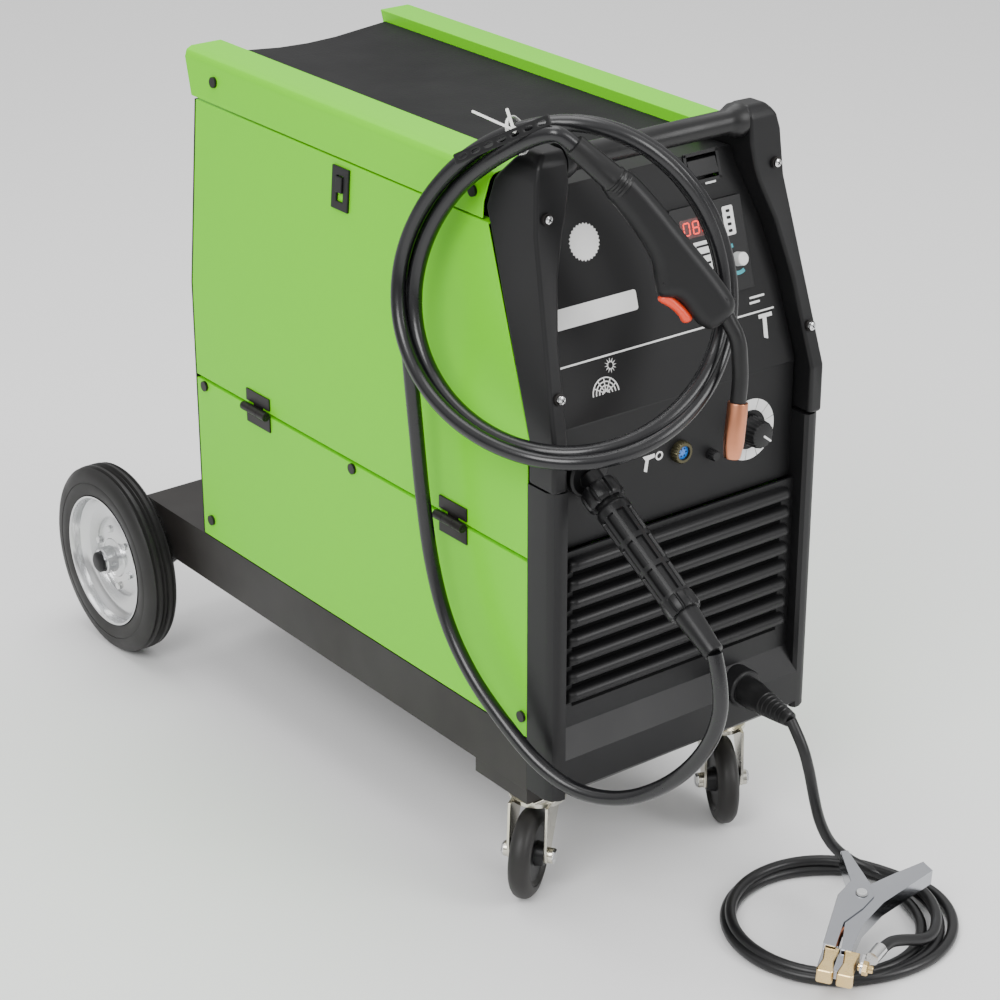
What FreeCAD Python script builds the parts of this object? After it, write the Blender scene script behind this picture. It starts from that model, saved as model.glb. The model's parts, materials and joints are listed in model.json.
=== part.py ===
import FreeCAD, Part
import math
import os
import re
import Sketcher

# MIG welder on a wheeled cart, with its torch hung in a coil and its work cable
# coiled on the floor.  X runs across the machine (its front faces -Y), Z is up and
# the floor is Z = 0.  Pieces are drawn with Y = 0 on the back face of the front
# fascia; front_y then moves them all so that the machine stands over its origin.

os.makedirs("parts", exist_ok=True)
V = FreeCAD.Vector
doc = FreeCAD.newDocument("MigWelder")
sheet = doc.addObject("Spreadsheet::Sheet", "Sizes")

SIZES = {
    # shell of the cabinet
    "front_y": -388.9, "half_width": 178, "cabinet_depth": 622, "skin": 2, "flange": 12,
    "base_z": 147, "deck_z": 209, "seam_z": 411, "bend_z": 525, "door_top_z": 738,
    "rail_top_z": 790, "side_lean": 0.0755, "front_bend_z": 541, "front_slope": 0.434,
    "seam_gap": 2, "tray_half": 109, "tray_drop": 8, "rail_front_y": 94,
    # steel base of the cart
    "base_depth": 759, "pan_wall": 3, "channel_z": 128, "channel_depth": 92,
    "bracket_x": 150, "bracket_wall": 5,
    # rear wheels
    "axle_y": 795, "axle_z": 119, "axle_radius": 10, "bore_gap": 0.05, "rim_radius": 83,
    "wheel_out": 26, "wheel_half": 21, "cap_radius": 13,
    # casters
    "caster_x": 127, "caster_y": 46, "caster_radius": 50, "caster_half": 12,
    "trail": 30, "left_heading": -145, "right_heading": -119.5, "bolt_radius": 5,
    "leg_inner": 19, "leg_wall": 3, "crown_z": 104, "race_z": 109, "race_top_z": 111.7,
    "plate_z": 124, "kingpin_radius": 6, "race_radius": 26,
    # fascia, posts and handle
    "fascia_z": 150, "fascia_top_z": 495, "fascia_y": -41, "column": 18, "recess_y": -25,
    "sill_z": 195, "sill_top_z": 222, "louvre_z": 246, "louvre_pitch": 21, "louvres": 8,
    "louvre_half": 150, "fascia_wall": 3, "panel_z": 420, "handle_y": 36,
    "handle_z": 802, "handle_radius": 12.5, "handle_half": 116, "boss_radius": 18,
    # control panel
    "panel_y": -17.5, "panel_wall": 3, "panel_bend_z": 545, "panel_slope": 0.30,
    "panel_top_z": 772, "recess_back_y": 98,
    # door hinges and latch
    "hinge_out": 6, "knuckle_radius": 5, "hinge_pin": 2, "hinge_length": 47,
    "latch_y": 333, "latch_up": 183.5,
    # wire feed compartment
    "divider_x": -12, "shelf_z": 398, "spool_y": 430, "spool_z": 575, "spool_radius": 150,
    "spool_inner_x": -18, "spool_width": 100, "spindle_radius": 25, "drive_y": 150,
    "drive_z": 558, "roll_radius": 15, "roll_x": -64, "arm_y": 112, "arm_z": 600,
    "knob_y": 190, "motor_radius": 28,
    # fan
    "fan_x": 60, "fan_z": 330, "fan_radius": 55, "fan_y": 600,
    # controls
    "display_x": 20, "display_width": 94.6, "display_z": 633, "display_tall": 96,
    "display_thick": 6, "display_knob_x": 97, "display_knob_up": 32,
    "voltage_x": 98, "voltage_z": 487, "trim_x": 45, "trim_z": 474, "remote_x": 3,
    "remote_z": 488, "rocker_x": 57, "rocker_width": 38, "rocker_z": 747,
    # torch connector and cords
    "torch_x": -120, "torch_z": 497, "torch_drop": 0.614, "torch_core": 12,
    "lead_radius": 7.75, "hank_radius": 17, "work_x": 83, "work_z": 200,
    "work_socket_radius": 21, "cable_radius": 6, "coil_inner": 84, "coil_outer": 126,
    "coil_x": 55, "coil_y": -215, "coil_tall": 26,
}
for row, (name, value) in enumerate(SIZES.items(), 1):
    sheet.set("A%d" % row, name)
    sheet.set("B%d" % row, str(value))
    sheet.setAlias("B%d" % row, name)
doc.recompute()


def size(name):
    """A driving dimension as a number."""
    return float(sheet.get(name))


def formula(text):
    """The text of an expression with every size's name made a cell of the sheet."""
    return re.sub(r"[A-Za-z_]\w*", lambda m: "Sizes." + m.group(), str(text))


def bind(thing, prop, text):
    thing.setExpression(prop, formula(text))


def set_base(thing, x, y, z):
    for letter, text in zip("xyz", (x, y, z)):
        bind(thing, "Placement.Base." + letter, text)


# ---------------------------------------------------------------- small makers

def box(xs, ys, zs):
    """A block between two corners."""
    block = doc.addObject("Part::Box", "Block")
    for prop, (low, high) in zip(("Length", "Width", "Height"), (xs, ys, zs)):
        bind(block, prop, "(%s)-(%s)" % (high, low))
    set_base(block, xs[0], ys[0], zs[0])
    return block


def rod(radius, length, at, along=(0, 0, 1)):
    """A cylinder from one end's centre in a direction."""
    bar = doc.addObject("Part::Cylinder", "Rod")
    bar.Placement = FreeCAD.Placement(V(0, 0, 0), FreeCAD.Rotation(V(0, 0, 1), V(*along)))
    bind(bar, "Radius", radius)
    bind(bar, "Height", length)
    set_base(bar, *at)
    return bar


def outline(body, role, points, lift):
    """A closed sketch of straight lines, every corner held by its two sizes."""
    sketch = body.newObject("Sketcher::SketchObject", "Outline")
    plane = [f for f in body.Origin.OriginFeatures if f.Role == role][0]
    sketch.AttachmentSupport = [(plane, "")]
    sketch.MapMode = "FlatFace"
    bind(sketch, "AttachmentOffset.Base.z", lift)
    count = len(points)
    ring = [V(100 * math.cos(2 * math.pi * i / count), 100 * math.sin(2 * math.pi * i / count), 0)
            for i in range(count)]
    lines = [sketch.addGeometry(Part.LineSegment(ring[i], ring[(i + 1) % count]), False)
             for i in range(count)]
    for i in range(count):
        sketch.addConstraint(Sketcher.Constraint("Coincident", lines[i], 2, lines[(i + 1) % count], 1))
    for i, (across, up) in enumerate(points):
        for kind, text, start in (("DistanceX", across, ring[i].x), ("DistanceY", up, ring[i].y)):
            held = sketch.addConstraint(Sketcher.Constraint(kind, -1, 1, lines[i], 1, start))
            bind(sketch, "Constraints[%d]" % held, text)
    return sketch


def plate(role, points, start, end):
    """An outline on one of the main planes, padded from start to end."""
    body = doc.addObject("PartDesign::Body", "Body")
    across = role == "XZ_Plane"
    sketch = outline(body, role, points, "-(%s)" % start if across else start)
    pad = body.newObject("PartDesign::Pad", "Pad")
    pad.Profile = sketch
    pad.Reversed = across
    bind(pad, "Length", "(%s)-(%s)" % (end, start))
    body.Tip = pad
    sketch.Visibility = False
    return body


def turned(points, at, along):
    """A profile of (along the axis, radius) points, revolved and placed."""
    body = doc.addObject("PartDesign::Body", "Turned")
    sketch = outline(body, "XZ_Plane", points, "0")
    spin = body.newObject("PartDesign::Revolution", "Revolution")
    spin.Profile = sketch
    spin.ReferenceAxis = (sketch, ["H_Axis"])
    spin.Angle = 360
    body.Tip = spin
    body.Placement = FreeCAD.Placement(V(0, 0, 0), FreeCAD.Rotation(V(1, 0, 0), V(*along)))
    set_base(body, *at)
    return body


def union(pieces):
    fused = doc.addObject("Part::MultiFuse", "Union")
    fused.Shapes = pieces
    return fused


def cut(base, tools):
    """The base less one or more tools."""
    hollow = doc.addObject("Part::Cut", "Cut")
    hollow.Base = base
    hollow.Tool = tools[0] if len(tools) == 1 else union(tools)
    return hollow


def crossed(section, ys, side, xs):
    """What a front outline and a side outline have in common."""
    shared = doc.addObject("Part::MultiCommon", "Crossed")
    shared.Shapes = [plate("XZ_Plane", section, *ys), plate("YZ_Plane", side, *xs)]
    return shared


def mirrored(piece):
    twin = doc.addObject("Part::Mirroring", "Mirrored")
    twin.Source = piece
    twin.Normal = V(1, 0, 0)
    return twin


def placed(pieces, at=("0", "0", "0"), turn=FreeCAD.Rotation()):
    """Pieces drawn in a frame of their own, set where they belong."""
    group = doc.addObject("Part::Compound", "Placed")
    group.Links = pieces
    group.Placement = FreeCAD.Placement(V(0, 0, 0), turn)
    set_base(group, *at)
    return group


NODES = []


def node(label, *pieces):
    """One named sub-part, moved with the rest of the machine by front_y."""
    whole = doc.addObject("Part::Compound", label)
    whole.Label = label
    whole.Links = list(pieces)
    bind(whole, "Placement.Base.y", "front_y")
    NODES.append(whole)


# ---------------------------------------------------------------- steel base

pan = cut(box(("-half_width", "half_width"), ("0", "base_depth"), ("base_z", "deck_z")),
          [box(("pan_wall-half_width", "half_width-pan_wall"), ("pan_wall", "base_depth-pan_wall"),
               ("base_z-1", "deck_z-pan_wall"))])
channel = cut(box(("pan_wall-half_width", "half_width-pan_wall"), ("pan_wall", "channel_depth"),
                  ("channel_z", "deck_z-pan_wall")),
              [box(("2*pan_wall-half_width", "half_width-2*pan_wall"),
                   ("2*pan_wall", "channel_depth-pan_wall"), ("channel_z+pan_wall", "deck_z"))])
bracket = cut(plate("YZ_Plane", [("axle_y-95", "deck_z-pan_wall"), ("base_depth-pan_wall", "deck_z-pan_wall"),
                                 ("axle_y+30", "axle_z+14"), ("axle_y+30", "axle_z-19"),
                                 ("axle_y-30", "axle_z-19"), ("axle_y-95", "base_z+4")],
                    "bracket_x", "bracket_x+bracket_wall"),
              [rod("axle_radius+bore_gap", "4*bracket_wall",
                   ("bracket_x-bracket_wall", "axle_y", "axle_z"), (1, 0, 0))])
node("cart_base", union([pan, channel, bracket, mirrored(bracket)]))

# ---------------------------------------------------------------- rear axle and wheels

wheel_x = "(half_width+wheel_out)"
end_cap = rod("cap_radius", "6", (wheel_x + "+23", "axle_y", "axle_z"), (1, 0, 0))
node("rear_axle",
     rod("axle_radius", "2*(%s+23)" % wheel_x, ("-%s-23" % wheel_x, "axle_y", "axle_z"), (1, 0, 0)),
     end_cap, mirrored(end_cap))

tyre_radius = "axle_z"
tyre_right_half = [("-2", tyre_radius), ("-2", tyre_radius + "-4"), ("2", tyre_radius + "-4"),
                   ("2", tyre_radius), ("7", tyre_radius), ("7", tyre_radius + "-4"),
                   ("11", tyre_radius + "-4"), ("11", tyre_radius + "-0.5"),
                   ("wheel_half-5", tyre_radius + "-3"), ("wheel_half-1", tyre_radius + "-9"),
                   ("wheel_half", "rim_radius+12"), ("wheel_half-2", "rim_radius")]
tyre_left_half = [("-(%s)" % along, radius) for along, radius in reversed(tyre_right_half[2:])]
rim_profile = [("wheel_half+1", "axle_radius+bore_gap"), ("wheel_half+1", "16"), ("6", "16"), ("5", "24"),
               ("-3", "50"), ("0", "rim_radius-11"), ("3", "rim_radius-4"),
               ("wheel_half-2", "rim_radius-4"), ("wheel_half-2", "rim_radius-0.1"),
               ("2-wheel_half", "rim_radius-0.1"), ("2-wheel_half", "rim_radius-4"),
               ("0", "rim_radius-4"), ("-3", "rim_radius-11"), ("-6", "50"), ("2", "24"),
               ("2", "16"), ("1-wheel_half", "16"), ("1-wheel_half", "axle_radius+bore_gap")]
for side, sign in (("left", -1), ("right", 1)):
    hub = ("%d*%s" % (sign, wheel_x), "axle_y", "axle_z")
    node("rear_tyre_" + side, turned(tyre_right_half + tyre_left_half, hub, (sign, 0, 0)))
    node("rear_rim_" + side, turned(rim_profile, hub, (sign, 0, 0)))

# ---------------------------------------------------------------- swivel casters

top_plates = []
for sign in ("-1", "1"):
    pivot = (sign + "*caster_x", "caster_y")
    top_plates.append(union([
        box((pivot[0] + "-40", pivot[0] + "+40"), ("1", "caster_y+45"), ("plate_z", "channel_z")),
        rod("race_radius", "plate_z-race_top_z-0.3", pivot + ("race_top_z+0.3",)),
        rod("kingpin_radius", "plate_z-crown_z+6", pivot + ("crown_z-6",)),
        rod("kingpin_radius+3", "5.7", pivot + ("crown_z-6",))]))
node("caster_plates", *top_plates)

# one leg seen from the side: X is the way the wheel trails
leg_outline = [("-30", "race_z"), ("36", "race_z"), ("trail+11", "caster_radius+10"),
               ("trail+8", "caster_radius-6"), ("trail-6", "caster_radius-6"),
               ("trail-10", "caster_radius+6"), ("-8", "crown_z-8"), ("-30", "crown_z")]
wheel_half_profile = [("0", "caster_radius"), ("caster_half-5", "caster_radius"),
                      ("caster_half", "caster_radius-6"), ("caster_half", "caster_radius-14"),
                      ("caster_half-3", "caster_radius-16"), ("caster_half-3", "16"),
                      ("leg_inner-0.5", "14"), ("leg_inner-0.5", "bolt_radius+bore_gap")]
wheel_profile = wheel_half_profile + [("-(%s)" % a, r) for a, r in reversed(wheel_half_profile[1:])]
for side, sign in (("left", "-1"), ("right", "1")):
    turn = FreeCAD.Rotation(V(0, 0, 1), size(side + "_heading"))
    at = (sign + "*caster_x", "caster_y", "0")
    leg = plate("XZ_Plane", leg_outline, "leg_inner", "leg_inner+leg_wall")
    far_leg = plate("XZ_Plane", leg_outline, "-leg_inner-leg_wall", "-leg_inner")
    crown = cut(union([leg, far_leg, rod("31", "race_z-crown_z", ("0", "0", "crown_z")),
                       rod("race_radius+1", "race_top_z-crown_z", ("0", "0", "crown_z"))]),
                [rod("kingpin_radius+bore_gap", "40", ("0", "0", "crown_z-20"))])
    grip = "leg_inner+leg_wall"
    bolt = rod("bolt_radius", "2*(%s)" % grip, ("trail", "-(%s)" % grip, "caster_radius"), (0, 1, 0))
    frame = cut(crown, [rod("bolt_radius", "2*(%s)+2" % grip,
                            ("trail", "-(%s)-1" % grip, "caster_radius"), (0, 1, 0))])
    heads = [rod("bolt_radius+3.5", "5", ("trail", grip, "caster_radius"), (0, 1, 0)),
             rod("bolt_radius+3.5", "5", ("trail", "-(%s)-5" % grip, "caster_radius"), (0, 1, 0))]
    node("caster_fork_" + side, placed([frame, union([bolt] + heads)], at, turn))
    wheel = turned(wheel_profile, ("trail", "0", "caster_radius"), (0, 1, 0))
    node("caster_wheel_" + side, placed([wheel], at, turn))

# ---------------------------------------------------------------- front fascia

inner_x = "(half_width-column)"
column = plate("XY_Plane", [(inner_x + "-3", "0"), (inner_x + "-3", "fascia_y+4"), (inner_x, "fascia_y"),
                            ("half_width-12", "fascia_y"), ("half_width-4", "fascia_y+4"),
                            ("half_width", "fascia_y+12"), ("half_width", "0")],
               "fascia_z", "fascia_top_z")
bumper = plate("YZ_Plane", [("fascia_y", "fascia_z+8"), ("fascia_y", "sill_z"),
                            ("recess_y", "sill_top_z"), ("recess_y+fascia_wall", "sill_top_z"),
                            ("fascia_y+fascia_wall", "sill_z-2"),
                            ("fascia_y+fascia_wall", "fascia_z+fascia_wall+6"),
                            ("fascia_y+11", "fascia_z+fascia_wall"), ("0", "fascia_z+fascia_wall"),
                            ("0", "fascia_z"), ("fascia_y+8", "fascia_z")],
               "-" + inner_x, inner_x)
recess = box(("-" + inner_x, inner_x), ("recess_y", "recess_y+fascia_wall"), ("sill_top_z", "panel_z"))
slats = []
slots = []
for index in range(int(size("louvres"))):
    low = "(louvre_z+%d*louvre_pitch)" % index
    slats.append(plate("YZ_Plane", [("recess_y-10", low + "+1"), ("recess_y", low + "+17"),
                                    ("recess_y+2", low + "+17"), ("recess_y+2", low + "+13"),
                                    ("recess_y-8", low)],
                       "-louvre_half", "louvre_half"))
    slots.append(box(("15-louvre_half", "louvre_half-15"), ("recess_y-1", "recess_y+fascia_wall+1"),
                     (low + "+3", low + "+9")))
shell = union([cut(recess, slots), bumper, column, mirrored(column)] + slats)
socket_hole = rod("work_socket_radius+bore_gap", "40", ("work_x", "fascia_y-1", "work_z"), (0, 1, 0))
node("front_fascia", cut(shell, [socket_hole]))

# ---------------------------------------------------------------- handle posts and bar

post_front = [("half_width", "fascia_top_z"), ("half_width", "bend_z+20"),
              ("half_width-17.5", "door_top_z+4"), ("half_width-21", "rail_top_z"),
              ("half_width-26", "rail_top_z+18"), ("half_width-36", "rail_top_z+28"),
              ("handle_half", "rail_top_z+28"), ("handle_half", "rail_top_z-10"),
              ("handle_half+5", "rail_top_z-35"), ("handle_half+24", "door_top_z-38"),
              ("half_width-26", "bend_z+115"), ("half_width-20", "bend_z+45"),
              ("half_width-column", "bend_z+20"), ("half_width-column", "fascia_top_z")]
post_side = [("fascia_y", "fascia_top_z"), ("fascia_y", "front_bend_z+7"), ("12", "door_top_z+4"),
             ("16", "rail_top_z"), ("18", "rail_top_z+18"), ("26", "rail_top_z+29"),
             ("36", "rail_top_z+32"), ("48", "rail_top_z+28"), ("60", "rail_top_z+16"),
             ("82", "rail_top_z-7"), ("rail_front_y-2", "door_top_z+14"),
             ("(door_top_z-front_bend_z)*front_slope", "door_top_z"), ("0", "front_bend_z"),
             ("0", "fascia_top_z")]
post = crossed(post_front, ("fascia_y-1", "rail_front_y+1"), post_side, ("handle_half-1", "half_width+1"))
node("handle_post_right", post)
node("handle_post_left", mirrored(post))
collar = rod("boss_radius", "12", ("handle_half-12", "handle_y", "handle_z"), (1, 0, 0))
node("handle_bar", union([rod("handle_radius", "2*handle_half",
                              ("-handle_half", "handle_y", "handle_z"), (1, 0, 0)),
                          collar, mirrored(collar)]))

# ---------------------------------------------------------------- control panel

TILT = FreeCAD.Rotation(V(1, 0, 0), -math.degrees(math.atan(size("panel_slope"))))
OUTWARD = (0, -1, size("panel_slope"))


def slant_y(height):
    """Y of the sloping face of the control panel at a height."""
    return "(panel_y-2.5+(%s-panel_bend_z)*panel_slope)" % height


panel_front = [("half_width-21", "panel_z"), ("half_width-21", "bend_z+35"),
               ("half_width-26.5", "bend_z+115"), ("handle_half+23.5", "door_top_z-38"),
               ("handle_half+4.5", "rail_top_z-35"), ("handle_half-0.5", "rail_top_z-10"),
               ("0.5-handle_half", "rail_top_z-10"), ("-handle_half-4.5", "rail_top_z-35"),
               ("-handle_half-23.5", "door_top_z-38"), ("26.5-half_width", "bend_z+115"),
               ("21-half_width", "bend_z+35"), ("21-half_width", "panel_z")]
panel_side = [("panel_y", "panel_z"), ("panel_y", "panel_bend_z+2"),
              (slant_y("(panel_bend_z+5)"), "panel_bend_z+5"), (slant_y("panel_top_z"), "panel_top_z"),
              ("recess_back_y", "panel_top_z-2"), ("recess_back_y", "panel_top_z-2-panel_wall"),
              (slant_y("panel_top_z") + "+panel_wall", "panel_top_z-panel_wall"),
              ("panel_y+panel_wall", "panel_bend_z+2"), ("panel_y+panel_wall", "panel_z")]
panel = crossed(panel_front, ("-60", "recess_back_y+1"), panel_side, ("-half_width", "half_width"))
voltage_hole = rod("3+bore_gap", "30", ("voltage_x", "panel_y-10", "voltage_z"), (0, 1, 0))
trim_hole = rod("2+bore_gap", "30", ("trim_x", "panel_y-10", "trim_z"), (0, 1, 0))
rocker_up = "24"
rocker_frame = (("rocker_x", slant_y("rocker_z"), "rocker_z"), TILT)
rocker_hole = placed([box(("-1", "rocker_width+1"), ("-8", "14"), ("-1", rocker_up))], *rocker_frame)
node("control_panel", cut(panel, [voltage_hole, trim_hole, rocker_hole]))

rocker = plate("YZ_Plane", [("0", "2"), ("-4", "3"), ("-2", "11.5"), ("-1", "20"), ("4", "21"), ("9", "15"),
                            ("9", "8")], "0", "rocker_width")
node("power_rocker", placed([rocker], *rocker_frame))

module_frame = (("0", slant_y("display_z"), "display_z"), TILT)
module = cut(box(("display_x", "display_x+display_width"), ("-display_thick", "0"), ("0", "display_tall")),
             [rod("3+bore_gap", "20", ("display_knob_x", "-10", "display_knob_up"), (0, 1, 0))])
node("display_module", placed([module], *module_frame))
small_knob = turned([("0.3", "7.5"), ("10", "7"), ("11", "6"), ("11", "0"), ("-5", "0"), ("-5", "3"),
                     ("0.3", "3")], ("display_knob_x", "-display_thick", "display_knob_up"), (0, -1, 0))
node("display_knob", placed([small_knob], *module_frame))

node("voltage_knob", turned([("0.3", "17"), ("4", "17"), ("6", "15"), ("20", "14"), ("22", "12.5"),
                             ("22", "0"), ("-8", "0"), ("-8", "3"), ("0.3", "3")],
                            ("voltage_x", "panel_y", "voltage_z"), (0, -1, 0)))
node("trim_knob", turned([("0.3", "6"), ("10", "5.5"), ("10", "0"), ("-6", "0"), ("-6", "2"), ("0.3", "2")],
                         ("trim_x", "panel_y", "trim_z"), (0, -1, 0)))
remote_at = ("remote_x", "panel_y", "remote_z")
node("remote_socket",
     turned([("0", "12"), ("7", "12"), ("8", "11"), ("8", "7.6"), ("2", "7.6"), ("2", "0"), ("0", "0")],
            remote_at, (0, -1, 0)),
     turned([("2", "7.5"), ("5", "7.5"), ("5", "0"), ("2", "0")], remote_at, (0, -1, 0)))

# ---------------------------------------------------------------- sheet-metal sides


def leaned(height):
    """Distance of the outer skin from the middle, above the bend."""
    return "(half_width-(%s-bend_z)*side_lean)" % height


def skin_section(low, high):
    """Outer skin seen from the front: a bent sheet with flanges turned in at both ends."""
    return [("half_width", low), ("half_width", "bend_z"), (leaned(high), high),
            (leaned(high) + "-flange", high), (leaned(high) + "-flange", high + "-skin"),
            (leaned(high) + "-skin", high + "-skin"), ("half_width-skin", "bend_z"),
            ("half_width-skin", low + "+skin"), ("half_width-flange", low + "+skin"),
            ("half_width-flange", low)]


def skin_side(low, high):
    return [("0.5", low), ("0.5", "front_bend_z"),
            ("0.5+(%s-front_bend_z)*front_slope" % high, high),
            ("cabinet_depth", high), ("cabinet_depth", low)]


panel_low = "(deck_z+1)"
door_low = "(seam_z+seam_gap)"
skin_top = "(door_top_z-1)"
lower = plate("XZ_Plane", [("half_width", panel_low), ("half_width", "seam_z-seam_gap"),
                           ("half_width-flange", "seam_z-seam_gap"),
                           ("half_width-flange", "seam_z-seam_gap-skin"),
                           ("half_width-skin", "seam_z-seam_gap-skin"),
                           ("half_width-skin", panel_low + "+skin"),
                           ("half_width-flange", panel_low + "+skin"), ("half_width-flange", panel_low)],
              "0.5", "cabinet_depth")
node("lower_panel_left", mirrored(lower))
span = ("0", "cabinet_depth+1")
reach = ("100", "half_width+1")
node("side_door", mirrored(crossed(skin_section(door_low, skin_top), span,
                                   skin_side(door_low, skin_top), reach)))
node("side_panel_right", crossed(skin_section(panel_low, skin_top), span,
                                 skin_side(panel_low, skin_top), reach))

# ---------------------------------------------------------------- top

rail = crossed([(leaned("(door_top_z+1)"), "door_top_z+1"), (leaned("rail_top_z") + "+1", "rail_top_z-10"),
                (leaned("rail_top_z") + "-3", "rail_top_z-3"), (leaned("rail_top_z") + "-10", "rail_top_z"),
                ("tray_half", "rail_top_z"), ("tray_half", "rail_top_z-18"),
                ("tray_half+skin", "rail_top_z-18"), ("tray_half+skin", "rail_top_z-skin"),
                (leaned("rail_top_z") + "-10.5", "rail_top_z-skin"),
                (leaned("rail_top_z") + "-4.5", "rail_top_z-4.5"),
                (leaned("rail_top_z") + "-1", "rail_top_z-10.5"),
                (leaned("(door_top_z+1)") + "-skin", "door_top_z+1")],
               ("60", "cabinet_depth+30"),
               [("rail_front_y", "door_top_z"), ("rail_front_y", "door_top_z+17"),
                ("rail_front_y-9", "rail_top_z-6"), ("rail_front_y-17", "rail_top_z+1"),
                ("cabinet_depth+28", "rail_top_z+1"), ("cabinet_depth+9", "door_top_z")],
               ("tray_half-5", "half_width"))
node("top_rails", rail, mirrored(rail))
tray_edge = "(rail_top_z-12)"
tray_half_top = [("0", tray_edge + "-tray_drop"), ("tray_half*0.35", tray_edge + "-tray_drop*0.85"),
                 ("tray_half*0.7", tray_edge + "-tray_drop*0.45"), ("tray_half", tray_edge)]
tray_under = [(x, z + "-skin") for x, z in tray_half_top]
tray_section = (tray_half_top + tray_under[:0:-1] + tray_under[:1]
                + [("-" + x, z) for x, z in tray_under[1:] + tray_half_top[:0:-1]])
node("top_tray", plate("XZ_Plane", tray_section, "recess_back_y+2", "cabinet_depth+18"))

# ---------------------------------------------------------------- rear panel

back_y = "cabinet_depth+0.3"
back_face = back_y + "+skin"
back_top = leaned("(door_top_z-1)")
back = plate("XZ_Plane", [("half_width", "deck_z+1"), ("half_width", "bend_z"), (back_top, "door_top_z-1"),
                          ("-" + back_top, "door_top_z-1"), ("-half_width", "bend_z"),
                          ("-half_width", "deck_z+1")], back_y, back_face)
vent = rod("fan_radius+3", "10", ("fan_x", "cabinet_depth-4", "fan_z"), (0, 1, 0))
bars = [rod("14", "skin", ("fan_x", back_y, "fan_z"), (0, 1, 0))]
bars.append(box(("fan_x-fan_radius-5", "fan_x+fan_radius+5"), (back_y, back_face),
                ("fan_z-2", "fan_z+2")))
bars.append(box(("fan_x-2", "fan_x+2"), (back_y, back_face),
                ("fan_z-fan_radius-5", "fan_z+fan_radius+5")))
for radius in ("24", "34", "44"):
    ring = cut(rod(radius + "+2", "skin", ("fan_x", back_y, "fan_z"), (0, 1, 0)),
               [rod(radius, "10", ("fan_x", "cabinet_depth-4", "fan_z"), (0, 1, 0))])
    bars.append(ring)
shaft = rod("3", back_y + "-fan_y+8", ("fan_x", "fan_y-8", "fan_z"), (0, 1, 0))
mains_gland = turned([("0", "14"), ("8", "14"), ("10", "10"), ("24", "8"), ("24", "0"), ("0", "0")],
                     ("-100", back_face, "300"), (0, 1, 0))
gas_inlet = turned([("0", "9"), ("6", "9"), ("6", "5"), ("22", "5"), ("22", "0"), ("0", "0")],
                   ("110", back_face, "480"), (0, 1, 0))
node("rear_panel", union([cut(back, [vent])] + bars + [shaft, mains_gland, gas_inlet]))

blades = [turned([("-6", "14"), ("6", "14"), ("6", "3+bore_gap"), ("-6", "3+bore_gap")],
                 ("0", "0", "0"), (0, 1, 0))]
for index in range(7):
    blade = box(("-9", "9"), ("-1", "1"), ("12", "fan_radius"))
    tilt = FreeCAD.Rotation(V(0, 0, 1), 25)
    around = FreeCAD.Rotation(V(0, 1, 0), 360 * index / 7)
    blades.append(placed([blade], turn=around.multiply(tilt)))
node("fan_blades", placed([union(blades)], ("fan_x", "fan_y", "fan_z")))

# ---------------------------------------------------------------- wire feed compartment

wall = cut(box(("divider_x", "divider_x+skin"), ("60", "cabinet_depth-22"), ("shelf_z", "door_top_z-8")),
           [rod("motor_radius+1", "20", ("divider_x-10", "drive_y", "drive_z-18"), (1, 0, 0))])
shelf = box(("skin-half_width", "divider_x+skin"), ("20", "cabinet_depth-8"), ("shelf_z", "shelf_z+skin"))
node("divider_panel", union([wall, shelf]))
node("spool_spindle",
     turned([("0", "40"), ("5.7", "40"), ("5.7", "spindle_radius"), ("spool_width+10", "spindle_radius"),
             ("spool_width+14", "spindle_radius-4"), ("spool_width+14", "0"), ("0", "0")],
            ("divider_x", "spool_y", "spool_z"), (-1, 0, 0)))
drum = turned([("0", "spindle_radius+0.08"), ("0", "spool_radius"), ("4", "spool_radius"), ("4", "48"),
               ("spool_width-4", "48"), ("spool_width-4", "spool_radius"), ("spool_width", "spool_radius"),
               ("spool_width", "spindle_radius+0.08")],
              ("spool_inner_x", "spool_y", "spool_z"), (-1, 0, 0))
wound = turned([("4", "48"), ("4", "spool_radius-22"), ("spool_width-4", "spool_radius-22"),
                ("spool_width-4", "48")], ("spool_inner_x", "spool_y", "spool_z"), (-1, 0, 0))
node("wire_spool", drum, wound)

gearbox = box(("divider_x-36", "divider_x"), ("drive_y-42", "drive_y+50"), ("drive_z-50", "drive_z+14"))
motor = rod("motor_radius", "100", ("divider_x", "drive_y", "drive_z-18"), (1, 0, 0))
roll_pin = rod("4", "22", ("divider_x-58", "drive_y", "drive_z"), (1, 0, 0))
arm_post = box(("divider_x-36", "divider_x-16"), ("arm_y-8", "arm_y+8"), ("drive_z+10", "arm_z+10"))
arm_pin = rod("4", "22", ("divider_x-58", "arm_y", "arm_z"), (1, 0, 0))
knob_stud = rod("3", "50", ("divider_x-24", "knob_y", "drive_z+10"))
node("wire_drive", union([gearbox, motor, roll_pin, arm_post, arm_pin, knob_stud]))
node("drive_roll", turned([("0", "4+bore_gap"), ("0", "roll_radius"), ("5", "roll_radius"), ("6", "roll_radius-1"),
                           ("7", "roll_radius"), ("12", "roll_radius"), ("12", "4+bore_gap")],
                          ("roll_x", "drive_y", "drive_z"), (1, 0, 0)))
arm = cut(plate("YZ_Plane", [("arm_y-9", "arm_z-6"), ("arm_y-9", "arm_z+9"), ("drive_y+25", "arm_z+9"),
                             ("drive_y+29", "arm_z"), ("drive_y+12", "arm_z-6")],
                "roll_x", "roll_x+12"),
          [rod("4+bore_gap", "30", ("roll_x-5", "arm_y", "arm_z"), (1, 0, 0))])
idler = rod("11", "10", ("roll_x+1", "drive_y", "drive_z+roll_radius+12.5"), (1, 0, 0))
node("pressure_arm", union([arm, idler]))
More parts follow.
